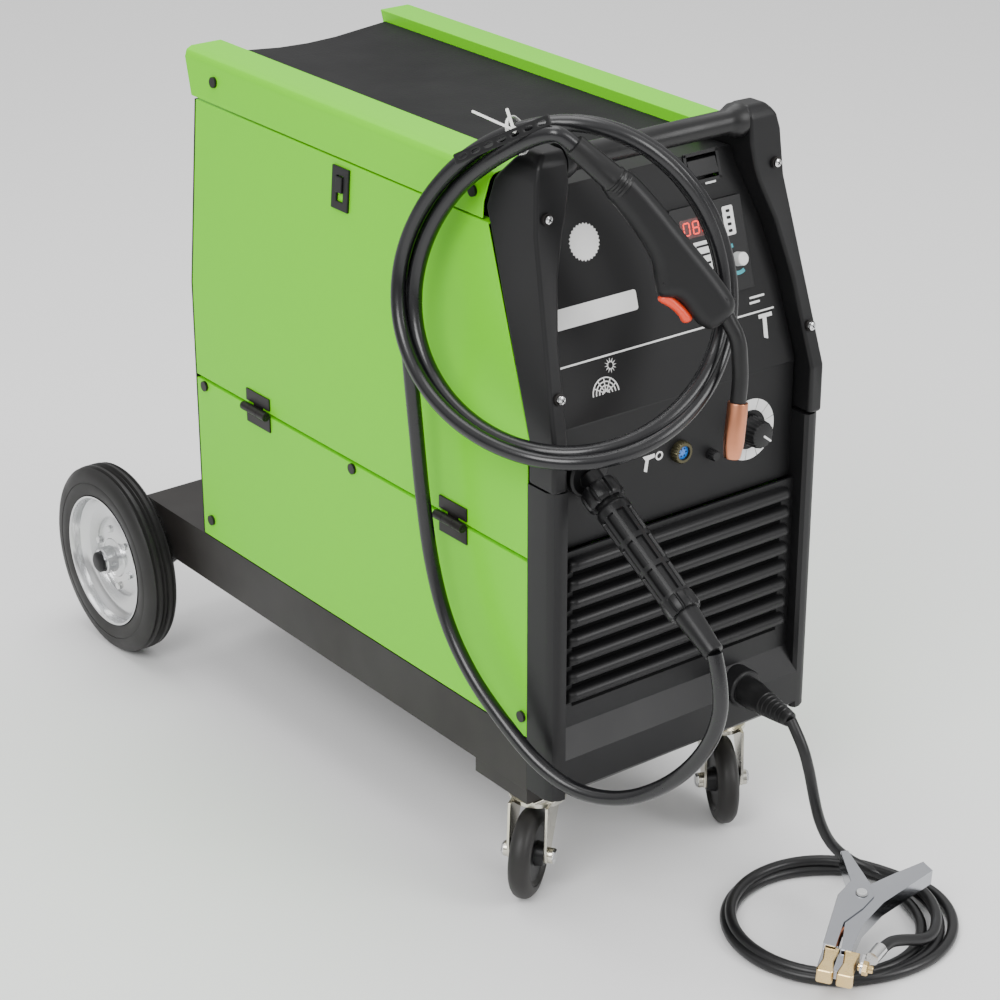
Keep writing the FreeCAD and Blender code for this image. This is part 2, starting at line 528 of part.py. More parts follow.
node("tension_knob", turned([("0", "3+bore_gap"), ("0", "8"), ("14", "11"), ("34", "11"), ("36", "9"),
                             ("36", "3+bore_gap")],
                            ("divider_x-24", "knob_y", "drive_z+20"), (0, 0, 1)))

# ---------------------------------------------------------------- electrics on the deck

core = box(("-70", "90"), ("250", "430"), ("deck_z", "deck_z+140"))
winding = box(("-58", "78"), ("215", "465"), ("deck_z+22", "deck_z+118"))
node("transformer", union([core, winding]))
board = box(("6", "8"), ("300", "500"), ("430", "600"))
posts = [rod("4", "6-divider_x-skin", ("divider_x+skin", y, z), (1, 0, 0))
         for y in ("312", "488") for z in ("442", "588")]
chips = [box(("8", "22"), ("330", "370"), ("460", "520")), box(("8", "30"), ("400", "440"), ("540", "580")),
         box(("8", "18"), ("420", "470"), ("450", "480"))]
node("control_board", union([board] + posts + chips))

# ---------------------------------------------------------------- door hinges and latch

fixed_leaves = []
door_leaves = []
hinge_x = "(half_width+hinge_out)"
leaf_span = (hinge_x + "-6", hinge_x + "-4")
for start in ("99", "466"):
    leaf = box(leaf_span, (start, start + "+hinge_length"), ("seam_z-20", "seam_z-6"))
    swing = box(leaf_span, (start, start + "+hinge_length"), ("seam_z+6", "seam_z+20"))
    for first, length, parts in ((start, "15", fixed_leaves), (start + "+32", "15", fixed_leaves),
                                 (start + "+15.3", "16.4", door_leaves)):
        low, high = ("seam_z-7", "seam_z") if parts is fixed_leaves else ("seam_z", "seam_z+7")
        knuckle = union([rod("knuckle_radius", length, (hinge_x, first, "seam_z"), (0, 1, 0)),
                         box(leaf_span, (first, first + "+" + length), (low, high))])
        bore = "hinge_pin" if parts is fixed_leaves else "hinge_pin+bore_gap"
        parts.append((knuckle, rod(bore, length + "+2", (hinge_x, first + "-1", "seam_z"), (0, 1, 0))))
    fixed_leaves.append((leaf, None))
    door_leaves.append((swing, None))


def leaf_set(parts):
    """Leaves joined to their knuckles, bored for the pin."""
    return mirrored(cut(union([piece for piece, _ in parts]), [bore for _, bore in parts if bore]))


pins = [mirrored(rod("hinge_pin", "hinge_length+2", (hinge_x, start + "-1", "seam_z"), (0, 1, 0)))
        for start in ("99", "466")]
node("hinge_brackets", leaf_set(fixed_leaves), *pins)
node("hinge_leaves", leaf_set(door_leaves))

LEAN = FreeCAD.Rotation(V(0, 1, 0), math.degrees(math.atan(size("side_lean"))))
door_frame = (("-half_width", "latch_y", "bend_z"), LEAN)
latch_window = box(("-9", "1"), ("-6", "6"), ("latch_up-14", "latch_up+14"))
node("latch_plate", placed([cut(box(("-3", "0"), ("-15", "15"), ("latch_up-23", "latch_up+23")),
                                [latch_window])], *door_frame))
node("latch_slider", placed([box(("-5", "-0.3"), ("-5.7", "5.7"), ("latch_up-4", "latch_up-4+17"))],
                            *door_frame))

# ---------------------------------------------------------------- torch connector

DROP = (0, -1, -size("torch_drop"))
torch_at = ("torch_x", "panel_y-5", "torch_z")
node("torch_socket",
     union([turned([("0", "24"), ("6", "24"), ("8", "21"), ("8", "0"), ("0", "0")],
                   ("torch_x", "panel_y", "torch_z"), (0, -1, 0)),
            rod("torch_core", "40", ("torch_x", "panel_y-7", "torch_z-1.2"), DROP)]))
bore = "torch_core+bore_gap"
node("torch_collar", turned([("17.5", bore), ("17.5", "20"), ("22", "21"), ("34", "21"), ("38", "18"), ("38", bore)],
                            torch_at, DROP))
node("torch_sleeve", turned([("43", "0"), ("43", "17"), ("50", "18"), ("150", "16"), ("168", "17"),
                             ("176", "17"), ("178", "13"), ("226", "lead_radius+2"), ("226", "0")],
                            torch_at, DROP))

# ---------------------------------------------------------------- work connector

work_at = ("work_x", "recess_y+fascia_wall", "work_z")
node("work_socket", turned([("0", "work_socket_radius"), ("22", "work_socket_radius"),
                            ("24", "work_socket_radius-2"), ("24", "0"), ("0", "0")],
                           work_at, (0, -1, 0)))
node("work_plug", turned([("24", "0"), ("24", "16"), ("40", "16"), ("42", "14"), ("76", "11"),
                          ("98", "cable_radius+2"), ("98", "0")],
                         work_at, (-0.05, -1, -0.03)))


# ---------------------------------------------------------------- cords

def cord(label, points, radius):
    """A tube of straight runs joined by tangent arcs, as large as the runs allow."""
    corners = [V(*point) for point in points]
    edges = []
    start = corners[0]
    radii = []
    for before, corner, after in zip(corners, corners[1:], corners[2:]):
        back = (before - corner).normalize()
        ahead = (after - corner).normalize()
        turn = math.pi - back.getAngle(ahead)
        inset = 0.45 * min((before - corner).Length, (after - corner).Length)
        bend = inset / math.tan(turn / 2)
        radii.append(round(bend))
        middle = (back + ahead).normalize()
        apex = corner + middle * (bend / math.cos(turn / 2) - bend)
        first = corner + back * inset
        last = corner + ahead * inset
        edges.append(Part.LineSegment(start, first).toShape())
        edges.append(Part.Arc(first, apex, last).toShape())
        start = last
    edges.append(Part.LineSegment(start, corners[-1]).toShape())
    path = Part.Wire(edges)
    section = Part.Wire(Part.Circle(corners[0], corners[1] - corners[0], radius).toShape())
    tube = path.makePipeShell([section], True, True)
    expected = math.pi * radius ** 2 * path.Length
    print(label, "length", round(path.Length), "radii", radii,
          "volume ratio", round(tube.Volume / expected, 4))
    feature = doc.addObject("Part::Feature", "Tube")
    feature.Shape = tube
    node(label, feature)


LEAD_ROUTE = [(-120, -215.4, 378.6), (-119, -229, 340), (-121, -222, 293), (-128, -198, 249),
              (-139, -165, 213), (-157, -128, 189), (-178, -85, 184), (-194, -40, 201), (-203, 8, 234),
              (-206, 57, 266), (-207, 98, 311), (-208, 122, 372), (-209, 134, 441),
              (-210, 142, 512), (-213, 147, 583), (-215, 148, 625)]
cord("torch_lead", LEAD_ROUTE, size("lead_radius"))

# hank of torch lead over the left post: a saddle-shaped loop
MIDDLE = V(-131, 4, 677)
ACROSS = V(110, -113, 8)
UPWARD = V(26, 34.5, 151)
SADDLE = V(26, 34, -19)
HANK_STEPS = 24
hank_points = []
for index in range(HANK_STEPS):
    angle = 2 * math.pi * index / HANK_STEPS
    hank_points.append(MIDDLE + ACROSS * math.cos(angle) + UPWARD * math.sin(angle)
                       + SADDLE * math.cos(2 * angle))


def closed_tube(corners, radius):
    """A closed loop of short runs and tangent arcs, swept to a ring."""
    count = len(corners)
    middles = [(corners[i] + corners[(i + 1) % count]) * 0.5 for i in range(count)]
    edges = []
    for index in range(count):
        first = middles[index - 1]
        corner = corners[index]
        last = middles[index]
        inset = 0.9 * min((first - corner).Length, (last - corner).Length)
        back = (first - corner).normalize()
        ahead = (last - corner).normalize()
        turn = math.pi - back.getAngle(ahead)
        bend = inset / math.tan(turn / 2)
        apex = corner + (back + ahead).normalize() * (bend / math.cos(turn / 2) - bend)
        edges.append(Part.LineSegment(first, corner + back * inset).toShape())
        edges.append(Part.Arc(corner + back * inset, apex, corner + ahead * inset).toShape())
        edges.append(Part.LineSegment(corner + ahead * inset, last).toShape())
    half = len(edges) // 2
    halves = []
    for run, start, way in ((edges[:half], middles[-1], corners[0] - corners[-1]),
                            (edges[half:], middles[count // 2 - 1],
                             corners[count // 2] - corners[count // 2 - 1])):
        section = Part.Wire(Part.Circle(start, way, radius).toShape())
        halves.append(Part.Wire(run).makePipeShell([section], True, True))
    tube = halves[0].fuse(halves[1])
    expected = math.pi * radius ** 2 * Part.Wire(edges).Length
    print("hank volume ratio", round(tube.Volume / expected, 4), "solids", len(tube.Solids))
    return tube


hank = doc.addObject("Part::Feature", "Hank")
hank.Shape = closed_tube(hank_points, size("hank_radius"))
node("torch_coil", hank)

strap_angle = math.radians(109)
strap_at = (MIDDLE + ACROSS * math.cos(strap_angle) + UPWARD * math.sin(strap_angle)
            + SADDLE * math.cos(2 * strap_angle))
strap_way = (UPWARD * math.cos(strap_angle) - ACROSS * math.sin(strap_angle)
             - SADDLE * 2 * math.sin(2 * strap_angle))
node("hang_strap", turned([("-13", "hank_radius+0.3"), ("-13", "hank_radius+2.3"),
                           ("13", "hank_radius+2.3"), ("13", "hank_radius+0.3")],
                          tuple(strap_at), tuple(strap_way)))

WORK_ROUTE = [(78, -120.1, 197), (78, -138, 178), (82, -147, 148), (88, -150, 114), (97, -151, 82),
              (111, -154, 52), (130, -162, 29), (147, -176, 17), (158, -195, 13)]
cord("work_cable", WORK_ROUTE, size("cable_radius"))
node("work_coil", cut(rod("coil_outer", "coil_tall", ("coil_x", "coil_y", "0")),
                      [rod("coil_inner", "coil_tall+2", ("coil_x", "coil_y", "-1"))]))

# ---------------------------------------------------------------- torch gun

ALONG = V(0.548, -0.392, -0.739)
FACE = V(-0.477, -0.872, 0.109)
GUN_TURN = FreeCAD.Rotation(ALONG, FACE.cross(ALONG), FACE, "XZY")
GUN_AT = ("-139.3", "-25.7", "834")


def gun_plate(points, half):
    """A slice of the handle, drawn with X along it and Y to its back."""
    return plate("XY_Plane", points, "-(%s)" % half, half)


grip_shell = union([
    gun_plate([("38", "-11"), ("38", "13"), ("44", "22"), ("58", "27"), ("92", "26"), ("128", "22"),
               ("188", "16"), ("223", "8"), ("219", "-26"), ("205", "-29"), ("203", "-6"), ("166", "-8"),
               ("158", "-42"), ("150", "-38"), ("126", "-20"), ("80", "-13")], "13"),
    rod("10", "40", ("0", "0", "0"), (1, 0, 0))])
node("gun_body", placed([grip_shell], GUN_AT, GUN_TURN))
node("gun_trigger", placed([gun_plate([("167", "-42"), ("202", "-37"), ("202", "-30"), ("200", "-14"),
                                       ("169", "-16")], "6")], GUN_AT, GUN_TURN))


def neck_tube():
    """The bent neck: three straight runs with rounded corners."""
    corners = [V(216, -6, 0), V(246, -14, 0), V(276, -38, 0), V(296, -60, 0)]
    edges = []
    start = corners[0]
    for before, corner, after in zip(corners, corners[1:], corners[2:]):
        back = (before - corner).normalize()
        ahead = (after - corner).normalize()
        turn = math.pi - back.getAngle(ahead)
        inset = 0.4 * min((before - corner).Length, (after - corner).Length)
        bend = inset / math.tan(turn / 2)
        apex = corner + (back + ahead).normalize() * (bend / math.cos(turn / 2) - bend)
        edges.append(Part.LineSegment(start, corner + back * inset).toShape())
        edges.append(Part.Arc(corner + back * inset, apex, corner + ahead * inset).toShape())
        start = corner + ahead * inset
    edges.append(Part.LineSegment(start, corners[-1]).toShape())
    section = Part.Wire(Part.Circle(corners[0], corners[1] - corners[0], 8).toShape())
    return Part.Wire(edges).makePipeShell([section], True, True)


neck = doc.addObject("Part::Feature", "Neck")
neck.Shape = neck_tube()
node("gun_neck", placed([neck], GUN_AT, GUN_TURN))
node("gun_nozzle", placed([turned([("0", "8.2"), ("0", "10"), ("38", "10.5"), ("56", "8.5"), ("56", "6.5"),
                                   ("36", "8.2")], ("292", "-55.5", "0"), (0.674, -0.739, 0))],
                          GUN_AT, GUN_TURN))

# ---------------------------------------------------------------- work clamp

CLAMP_X = V(0.820, 0.561, 0.112)
CLAMP_Z = V(-0.060, -0.110, 0.992)
CLAMP_TURN = FreeCAD.Rotation(CLAMP_X, CLAMP_Z.cross(CLAMP_X), CLAMP_Z, "XZY")
CLAMP_AT = ("61", "-253", "49")


def jaw(points, room, half, pad_ys):
    """A folded steel jaw, a slab hollowed into a channel, with a brass pad at its tip."""
    slab = plate("XY_Plane", points, "-" + half, half)
    hollow = plate("XY_Plane", room, "1.6-" + half, half + "-1.6")
    channel = cut(slab, [hollow, rod("4+bore_gap", "60", ("0", "0", "-30"))])
    return union([channel, box(("-120", "-84"), pad_ys, ("4-" + half, half + "-4"))])


upper = jaw([("-90", "-8"), ("-90", "2"), ("-15", "11"), ("14", "-1"), ("47", "-27"), ("74", "-50"),
             ("63", "-62"), ("30", "-44"), ("-5", "-24"), ("-45", "-11")],
            [("-95", "-5"), ("-95", "20"), ("30", "20"), ("80", "-45"), ("62", "-59"), ("30", "-41"),
             ("-5", "-21"), ("-45", "-8")], "9", ("-9", "4"))
lower_jaw = jaw([("-90", "8"), ("-90", "21"), ("-10", "23"), ("16", "15"), ("60", "35"), ("64", "28"),
                 ("20", "-4"), ("0", "-13"), ("-22", "-6"), ("-50", "8")],
                [("-95", "-20"), ("-95", "18"), ("-10", "20"), ("16", "12"), ("59", "31"), ("66", "10"),
                 ("20", "-30")], "10.8", ("6", "20"))
node("clamp_jaw_upper", placed([upper], CLAMP_AT, CLAMP_TURN))
node("clamp_jaw_lower", placed([lower_jaw], CLAMP_AT, CLAMP_TURN))
node("clamp_fittings", placed([rod("4", "26", ("0", "0", "-13")), rod("6", "2", ("0", "0", "-13")),
                               rod("6", "2", ("0", "0", "11"))], CLAMP_AT, CLAMP_TURN))

# ---------------------------------------------------------------- screws

heads = []
side_places = [("584", "rail_top_z-26"), ("110", "rail_top_z-27"), ("604", "seam_z-8"),
               ("603", "deck_z+24"), ("305", "seam_z-7"), ("8", "deck_z+23")]
for y, z in side_places[:2]:
    heads.append((("-0.3-" + leaned("(%s)" % z), y, z), (-1, 0, size("side_lean"))))
for y, z in side_places[2:]:
    heads.append((("-half_width", y, z), (-1, 0, 0)))
for sign in ("-1", "1"):
    heads.append(((sign + "*(half_width-31)", "12.6", "rail_top_z-33"), (0, -1, 0.08)))
    heads.append(((sign + "*(half_width-14)", "fascia_y+11.3", "bend_z+65"), (0, -1, 0.27)))
node("panel_screws", *[rod("6", "3", at, way) for at, way in heads])

# ---------------------------------------------------------------- check and export

doc.recompute()
for thing in doc.Objects:
    if "Invalid" in thing.State or "Error" in thing.State:
        raise RuntimeError("%s did not build: %s" % (thing.Label, thing.State))
for whole in NODES:
    shape = whole.Shape
    if shape.isNull() or not shape.isValid() or not shape.Solids:
        raise RuntimeError("%s has no sound solid" % whole.Label)
for whole in NODES:
    whole.Shape.exportStep(os.path.join("parts", whole.Label + ".step"))
print(len(NODES), "sub-parts written")
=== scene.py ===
import json
import math

import bmesh
import bpy
from mathutils import Matrix, Vector, geometry


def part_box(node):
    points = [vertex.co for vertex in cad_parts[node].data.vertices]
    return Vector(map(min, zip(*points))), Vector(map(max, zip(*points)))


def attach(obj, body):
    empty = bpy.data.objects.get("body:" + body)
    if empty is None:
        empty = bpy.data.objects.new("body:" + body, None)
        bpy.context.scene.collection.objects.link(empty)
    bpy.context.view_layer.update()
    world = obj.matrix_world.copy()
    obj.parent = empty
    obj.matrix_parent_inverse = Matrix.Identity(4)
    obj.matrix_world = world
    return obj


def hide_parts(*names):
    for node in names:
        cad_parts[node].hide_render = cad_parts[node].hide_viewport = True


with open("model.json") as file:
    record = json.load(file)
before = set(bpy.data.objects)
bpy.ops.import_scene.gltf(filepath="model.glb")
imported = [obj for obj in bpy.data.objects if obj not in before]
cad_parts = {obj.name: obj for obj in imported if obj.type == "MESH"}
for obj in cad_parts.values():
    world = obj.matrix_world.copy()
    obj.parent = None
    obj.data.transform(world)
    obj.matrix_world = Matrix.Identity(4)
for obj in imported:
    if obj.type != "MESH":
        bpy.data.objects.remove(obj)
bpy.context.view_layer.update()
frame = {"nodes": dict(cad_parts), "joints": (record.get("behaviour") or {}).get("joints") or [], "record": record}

# ---------------------------------------------------------------------------
# Camera: it stands at the machine's left front corner, above the handle, and looks
# down along the door side.  FRONT is the back face of the moulded front, from which
# every depth on the machine is counted.
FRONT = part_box("front_fascia")[1].y
scene = bpy.context.scene
eye = bpy.data.objects.new("camera", bpy.data.cameras.new("camera"))
eye.data.lens = 98.43
eye.data.sensor_width = 36.0
eye.location = Vector((-1.6806, FRONT - 1.9244, 1.5920))
eye.rotation_euler = (math.radians(90 - 24.54), math.radians(0.05), math.radians(-37.37))
scene.collection.objects.link(eye)
scene.camera = eye


# ---------------------------------------------------------------------------
# Torch lead: one rubber-covered hose of a little over 3 m that carries wire, gas and current.
# It leaves the connector's strain relief, sags below the base, climbs the door side
# and hangs in just over two turns on the left post, then runs into the gun's boot.
def cord_curve(name, points, thickness):
    """A round cord along one smooth spline whose control points are given."""
    curve = bpy.data.curves.new(name, "CURVE")
    curve.dimensions = "3D"
    curve.bevel_depth = thickness / 2
    curve.bevel_resolution = 8
    curve.resolution_u = 10
    curve.use_fill_caps = True
    spline = curve.splines.new("NURBS")
    spline.points.add(len(points) - 1)
    for point, at in zip(spline.points, points):
        point.co = (*at, 1.0)
    spline.order_u = 3
    spline.use_endpoint_u = True
    piece = bpy.data.objects.new(name, curve)
    scene.collection.objects.link(piece)
    return piece


def from_fascia(points):
    """Points in millimetres, with Y counted from the fascia, as places in metres."""
    return [Vector((x / 1000, FRONT + y / 1000, z / 1000)) for x, y, z in points]


LEAD_ROUTE = from_fascia([
    (-120, -215.4, 378.6), (-119, -229, 340), (-121, -222, 293), (-128, -198, 249),
    (-139, -165, 213), (-157, -128, 189), (-178, -85, 184), (-194, -40, 201), (-203, 8, 234),
    (-206, 57, 266), (-207, 98, 311), (-208, 122, 372), (-209, 134, 441), (-210, 142, 512),
    (-213, 147, 583), (-215, 148, 625)])
HANK_MIDDLE = Vector((-0.131, FRONT + 0.004, 0.677))
HANK_ACROSS = Vector((0.110, -0.113, 0.008))
HANK_UP = Vector((0.026, 0.0345, 0.151))
HANK_SADDLE = Vector((0.026, 0.034, -0.019))
HANK_FACE = HANK_ACROSS.cross(HANK_UP).normalized()


def placed(x_way, y_way, z_way, at):
    """A frame whose axes run three ways from a place."""
    where = Matrix((x_way, y_way, z_way)).transposed().to_4x4()
    where.translation = at
    return where


def hank_place(degrees, outward=0.0, forward=0.0):
    """A place on the hung hank, moved outward from its middle or towards the front."""
    angle = math.radians(degrees)
    on_line = (HANK_MIDDLE + HANK_ACROSS * math.cos(angle) + HANK_UP * math.sin(angle)
               + HANK_SADDLE * math.cos(2 * angle))
    out = (on_line - HANK_MIDDLE).normalized()
    return on_line + out * outward + HANK_FACE * forward


def between(starts, done):
    """The values a number of turns along a list that holds those of each turn's start."""
    share = done - int(done)
    return [first + (second - first) * share
            for first, second in zip(starts[int(done)], starts[int(done) + 1])]


LEAD_THICKNESS = 0.0155
# where each pass of the lead lies in the bundle: outward and forward of its middle.  The
# passes hang side by side at the top and on the left, and one behind the other below.
PASSES = [(0.006, -0.013), (0.010, 0.003), (-0.009, 0.001), (-0.004, -0.015)]
HANK_START = 165
HANK_END = 118 - 720
hank_turns = []
STEP = 20
for degrees in range(HANK_START, HANK_END, -STEP):
    outward, forward = between(PASSES, (HANK_START - degrees) / 360)
    rolled = math.radians(75) * max(0.0, -math.sin(math.radians(degrees + 20))) ** 1.5
    hank_turns.append(hank_place(degrees, outward * math.cos(rolled) - forward * math.sin(rolled),
                                 outward * math.sin(rolled) + forward * math.cos(rolled)))
GUN_ALONG = Vector((0.548, -0.392, -0.739)).normalized()
GUN_BACK = Vector((-0.477, -0.872, 0.109)).cross(GUN_ALONG).normalized()
GUN_FACE = GUN_ALONG.cross(GUN_BACK)
GUN_AT = Vector((-0.1393, FRONT - 0.0257, 0.834))
GUN = placed(GUN_ALONG, GUN_BACK, GUN_FACE, GUN_AT)
into_boot = [GUN_AT - GUN_ALONG * 0.034 - GUN_BACK * 0.008, GUN_AT - GUN_ALONG * 0.012,
             GUN_AT + GUN_ALONG * 0.012]
lead = cord_curve("torch_lead_hose", LEAD_ROUTE + hank_turns + into_boot, LEAD_THICKNESS)


def shader_group(name, inputs, outputs):
    """An empty shader node group with its sockets."""
    group = bpy.data.node_groups.new(name, "ShaderNodeTree")
    for label, kind, value in inputs:
        socket = group.interface.new_socket(name=label, in_out="INPUT", socket_type=kind)
        socket.default_value = value
    for label, kind in outputs:
        group.interface.new_socket(name=label, in_out="OUTPUT", socket_type=kind)
    return group, group.nodes.new("NodeGroupInput"), group.nodes.new("NodeGroupOutput")


def noise_on(group, scale, detail=4.0, coordinates="Object"):
    """A noise texture in a node group, its scale a number or a socket."""
    place = group.nodes.new("ShaderNodeTexCoord")
    noise = group.nodes.new("ShaderNodeTexNoise")
    noise.inputs["Detail"].default_value = detail
    group.links.new(place.outputs[coordinates], noise.inputs["Vector"])
    if isinstance(scale, (int, float)):
        noise.inputs["Scale"].default_value = scale
    else:
        group.links.new(scale, noise.inputs["Scale"])
    return noise


# drift shifts a colour and its roughness slowly from place to place, and grain is the
# fine texture of mouldings, rubber and powder coat
drift, given, put = shader_group(
    "colour_drift",
    [("Colour", "NodeSocketColor", (0.5, 0.5, 0.5, 1)), ("Other", "NodeSocketColor", (0.4, 0.4, 0.4, 1)),
     ("Scale", "NodeSocketFloat", 6.0), ("Low", "NodeSocketFloat", 0.3), ("High", "NodeSocketFloat", 0.5)],
    [("Colour", "NodeSocketColor"), ("Roughness", "NodeSocketFloat")])
cloud = noise_on(drift, given.outputs["Scale"])
blend = drift.nodes.new("ShaderNodeMix")
blend.data_type = "RGBA"
drift.links.new(cloud.outputs["Fac"], blend.inputs["Factor"])
drift.links.new(given.outputs["Colour"], blend.inputs["A"])
drift.links.new(given.outputs["Other"], blend.inputs["B"])
drift.links.new(blend.outputs["Result"], put.inputs["Colour"])
spread = drift.nodes.new("ShaderNodeMapRange")
spread.inputs["From Min"].default_value = 0.3
spread.inputs["From Max"].default_value = 0.7
drift.links.new(cloud.outputs["Fac"], spread.inputs["Value"])
drift.links.new(given.outputs["Low"], spread.inputs["To Min"])
drift.links.new(given.outputs["High"], spread.inputs["To Max"])
drift.links.new(spread.outputs["Result"], put.inputs["Roughness"])

grain, given, put = shader_group("fine_grain", [("Scale", "NodeSocketFloat", 900.0)],
                                 [("Height", "NodeSocketFloat")])
fine = noise_on(grain, given.outputs["Scale"], 2.0)
grain.links.new(fine.outputs["Fac"], put.inputs["Height"])


def surface(name, colour, other, low, high, metal=0.0, scale=6.0, grain_scale=900.0, depth=0.00004,
            coat=0.0, glow=0.0, shine=0.5):
    """A material whose colour and roughness drift from place to place, with a fine grain."""
    material = bpy.data.materials.new(name)
    material.use_nodes = True
    tree = material.node_tree
    shader = tree.nodes["Principled BSDF"]
    shader.inputs["Metallic"].default_value = metal
    shader.inputs["Coat Weight"].default_value = coat
    shader.inputs["Specular IOR Level"].default_value = shine
    tone = tree.nodes.new("ShaderNodeGroup")
    tone.node_tree = drift
    tone.inputs["Colour"].default_value = (*colour, 1)
    tone.inputs["Other"].default_value = (*other, 1)
    tone.inputs["Scale"].default_value = scale
    tone.inputs["Low"].default_value = low
    tone.inputs["High"].default_value = high
    tree.links.new(tone.outputs["Roughness"], shader.inputs["Roughness"])
    tree.links.new(tone.outputs["Colour"], shader.inputs["Base Color"])
    if glow:
        shader.inputs["Emission Strength"].default_value = glow
        tree.links.new(tone.outputs["Colour"], shader.inputs["Emission Color"])
    texture = tree.nodes.new("ShaderNodeGroup")
    texture.node_tree = grain
    texture.inputs["Scale"].default_value = grain_scale
    bump = tree.nodes.new("ShaderNodeBump")
    bump.inputs["Distance"].default_value = depth
    tree.links.new(texture.outputs["Height"], bump.inputs["Height"])
    tree.links.new(bump.outputs["Normal"], shader.inputs["Normal"])
    return material


hose_rubber = surface("hose_rubber", (0.005, 0.005, 0.006), (0.009, 0.009, 0.010), 0.20, 0.30, scale=25,
                      grain_scale=500, depth=0.00003, shine=0.5)
lead.data.materials.append(hose_rubber)
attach(lead, "chassis")
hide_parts("torch_lead", "torch_coil")

# ---------------------------------------------------------------------------
# Work cable: rubber-covered copper cable of about 2.5 m.  It leaves the plug in the
# fascia, drops to the floor and lies in just over three loose turns that fan out on
# the right, and its end climbs onto them to the lug of the spring clamp.
CABLE_THICKNESS = 0.012
WORK_ROUTE = from_fascia([
    (78, -120.1, 197), (78, -138, 178), (82, -147, 148), (88, -150, 114), (97, -151, 82),
    (111, -154, 52), (130, -162, 29), (147, -176, 17), (158, -195, 13)])
COIL_MIDDLE = Vector((0.055, FRONT - 0.215, 0.0))
CLAMP_ALONG = Vector((0.820, 0.561, 0.112)).normalized()
CLAMP_ACROSS = Vector((-0.060, -0.110, 0.992)).cross(CLAMP_ALONG).normalized()
CLAMP_UP = CLAMP_ALONG.cross(CLAMP_ACROSS)
CLAMP = placed(CLAMP_ALONG, CLAMP_ACROSS, CLAMP_UP, Vector((0.061, FRONT - 0.253, 0.049)))
COIL_START = -6
COIL_END = -1160
coil_turns = []
# radius and height of the cable's middle at the start of each turn
TURNS = [(0.106, 0.008), (0.112, 0.0065), (0.099, 0.0065), (0.108, 0.018), (0.113, 0.026)]
for degrees in range(COIL_START, COIL_END, -STEP):
    done = (COIL_START - degrees) / 360
    reach, height = between(TURNS, done)
    fan = (0.010, 0.022, -0.004, 0.004)[int(done)] * max(0.0, math.cos(math.radians(degrees + 25))) ** 2
    reach += fan
    angle = math.radians(degrees)
    coil_turns.append(COIL_MIDDLE + Vector((reach * math.cos(angle), reach * math.sin(angle), height)))
to_lug = [CLAMP @ Vector((-0.040, -0.044, -0.006)), CLAMP @ Vector((-0.060, -0.036, -0.001)),
          CLAMP @ Vector((-0.076, -0.031, 0.0))]
cable = cord_curve("work_cable_run", WORK_ROUTE + coil_turns + to_lug, CABLE_THICKNESS)
cable_rubber = surface("cable_rubber", (0.006, 0.006, 0.007), (0.011, 0.011, 0.011), 0.30, 0.42, scale=40,
                       grain_scale=600, depth=0.00005, shine=0.4)
cable.data.materials.append(cable_rubber)
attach(cable, "chassis")
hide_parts("work_cable", "work_coil")


# ---------------------------------------------------------------------------
# Cart base: a pan folded from 3 mm steel sheet, with a welded channel for the casters
# and two welded axle brackets, powder-coated black.  Its bends have a small radius.
def softened(name, node, width, segments=3, angle=28):
    """A piece with the CAD node's form and rounded edges."""
    mesh = frame["nodes"][node].data.copy()
    form = bmesh.new()
    form.from_mesh(mesh)
    bmesh.ops.remove_doubles(form, verts=form.verts, dist=0.00002)
    bmesh.ops.dissolve_limit(form, angle_limit=math.radians(1.5), verts=form.verts, edges=form.edges)
    form.to_mesh(mesh)
    form.free()
    piece = bpy.data.objects.new(name, mesh)
    scene.collection.objects.link(piece)
    mesh.shade_smooth()
    rounding = piece.modifiers.new("rounding", "BEVEL")
    rounding.width = width
    rounding.segments = segments
    rounding.limit_method = "ANGLE"
    rounding.angle_limit = math.radians(angle)
    rounding.harden_normals = False
    even = piece.modifiers.new("even", "WEIGHTED_NORMAL")
    even.keep_sharp = False
    return piece


# dust is a pale film in patches that thins out with height above the floor
dust, given, put = shader_group(
    "settled_dust",
    [("Colour", "NodeSocketColor", (0.5, 0.5, 0.5, 1)), ("Dust", "NodeSocketColor", (0.3, 0.28, 0.25, 1)),
     ("Amount", "NodeSocketFloat", 0.25), ("Reach", "NodeSocketFloat", 0.35)],
    [("Colour", "NodeSocketColor")])
place = dust.nodes.new("ShaderNodeTexCoord")
split = dust.nodes.new("ShaderNodeSeparateXYZ")
dust.links.new(place.outputs["Object"], split.inputs["Vector"])
fade = dust.nodes.new("ShaderNodeMapRange")
fade.inputs["To Min"].default_value = 1.0
fade.inputs["To Max"].default_value = 0.0
dust.links.new(split.outputs["Z"], fade.inputs["Value"])
dust.links.new(given.outputs["Reach"], fade.inputs["From Max"])
patches = noise_on(dust, 22.0)
both = dust.nodes.new("ShaderNodeMath")
both.operation = "MULTIPLY"
dust.links.new(fade.outputs["Result"], both.inputs[0])
dust.links.new(patches.outputs["Fac"], both.inputs[1])
scaled = dust.nodes.new("ShaderNodeMath")
scaled.operation = "MULTIPLY"
scaled.use_clamp = True
dust.links.new(both.outputs["Value"], scaled.inputs[0])
dust.links.new(given.outputs["Amount"], scaled.inputs[1])
film = dust.nodes.new("ShaderNodeMix")
film.data_type = "RGBA"
dust.links.new(scaled.outputs["Value"], film.inputs["Factor"])
dust.links.new(given.outputs["Colour"], film.inputs["A"])
dust.links.new(given.outputs["Dust"], film.inputs["B"])
dust.links.new(film.outputs["Result"], put.inputs["Colour"])


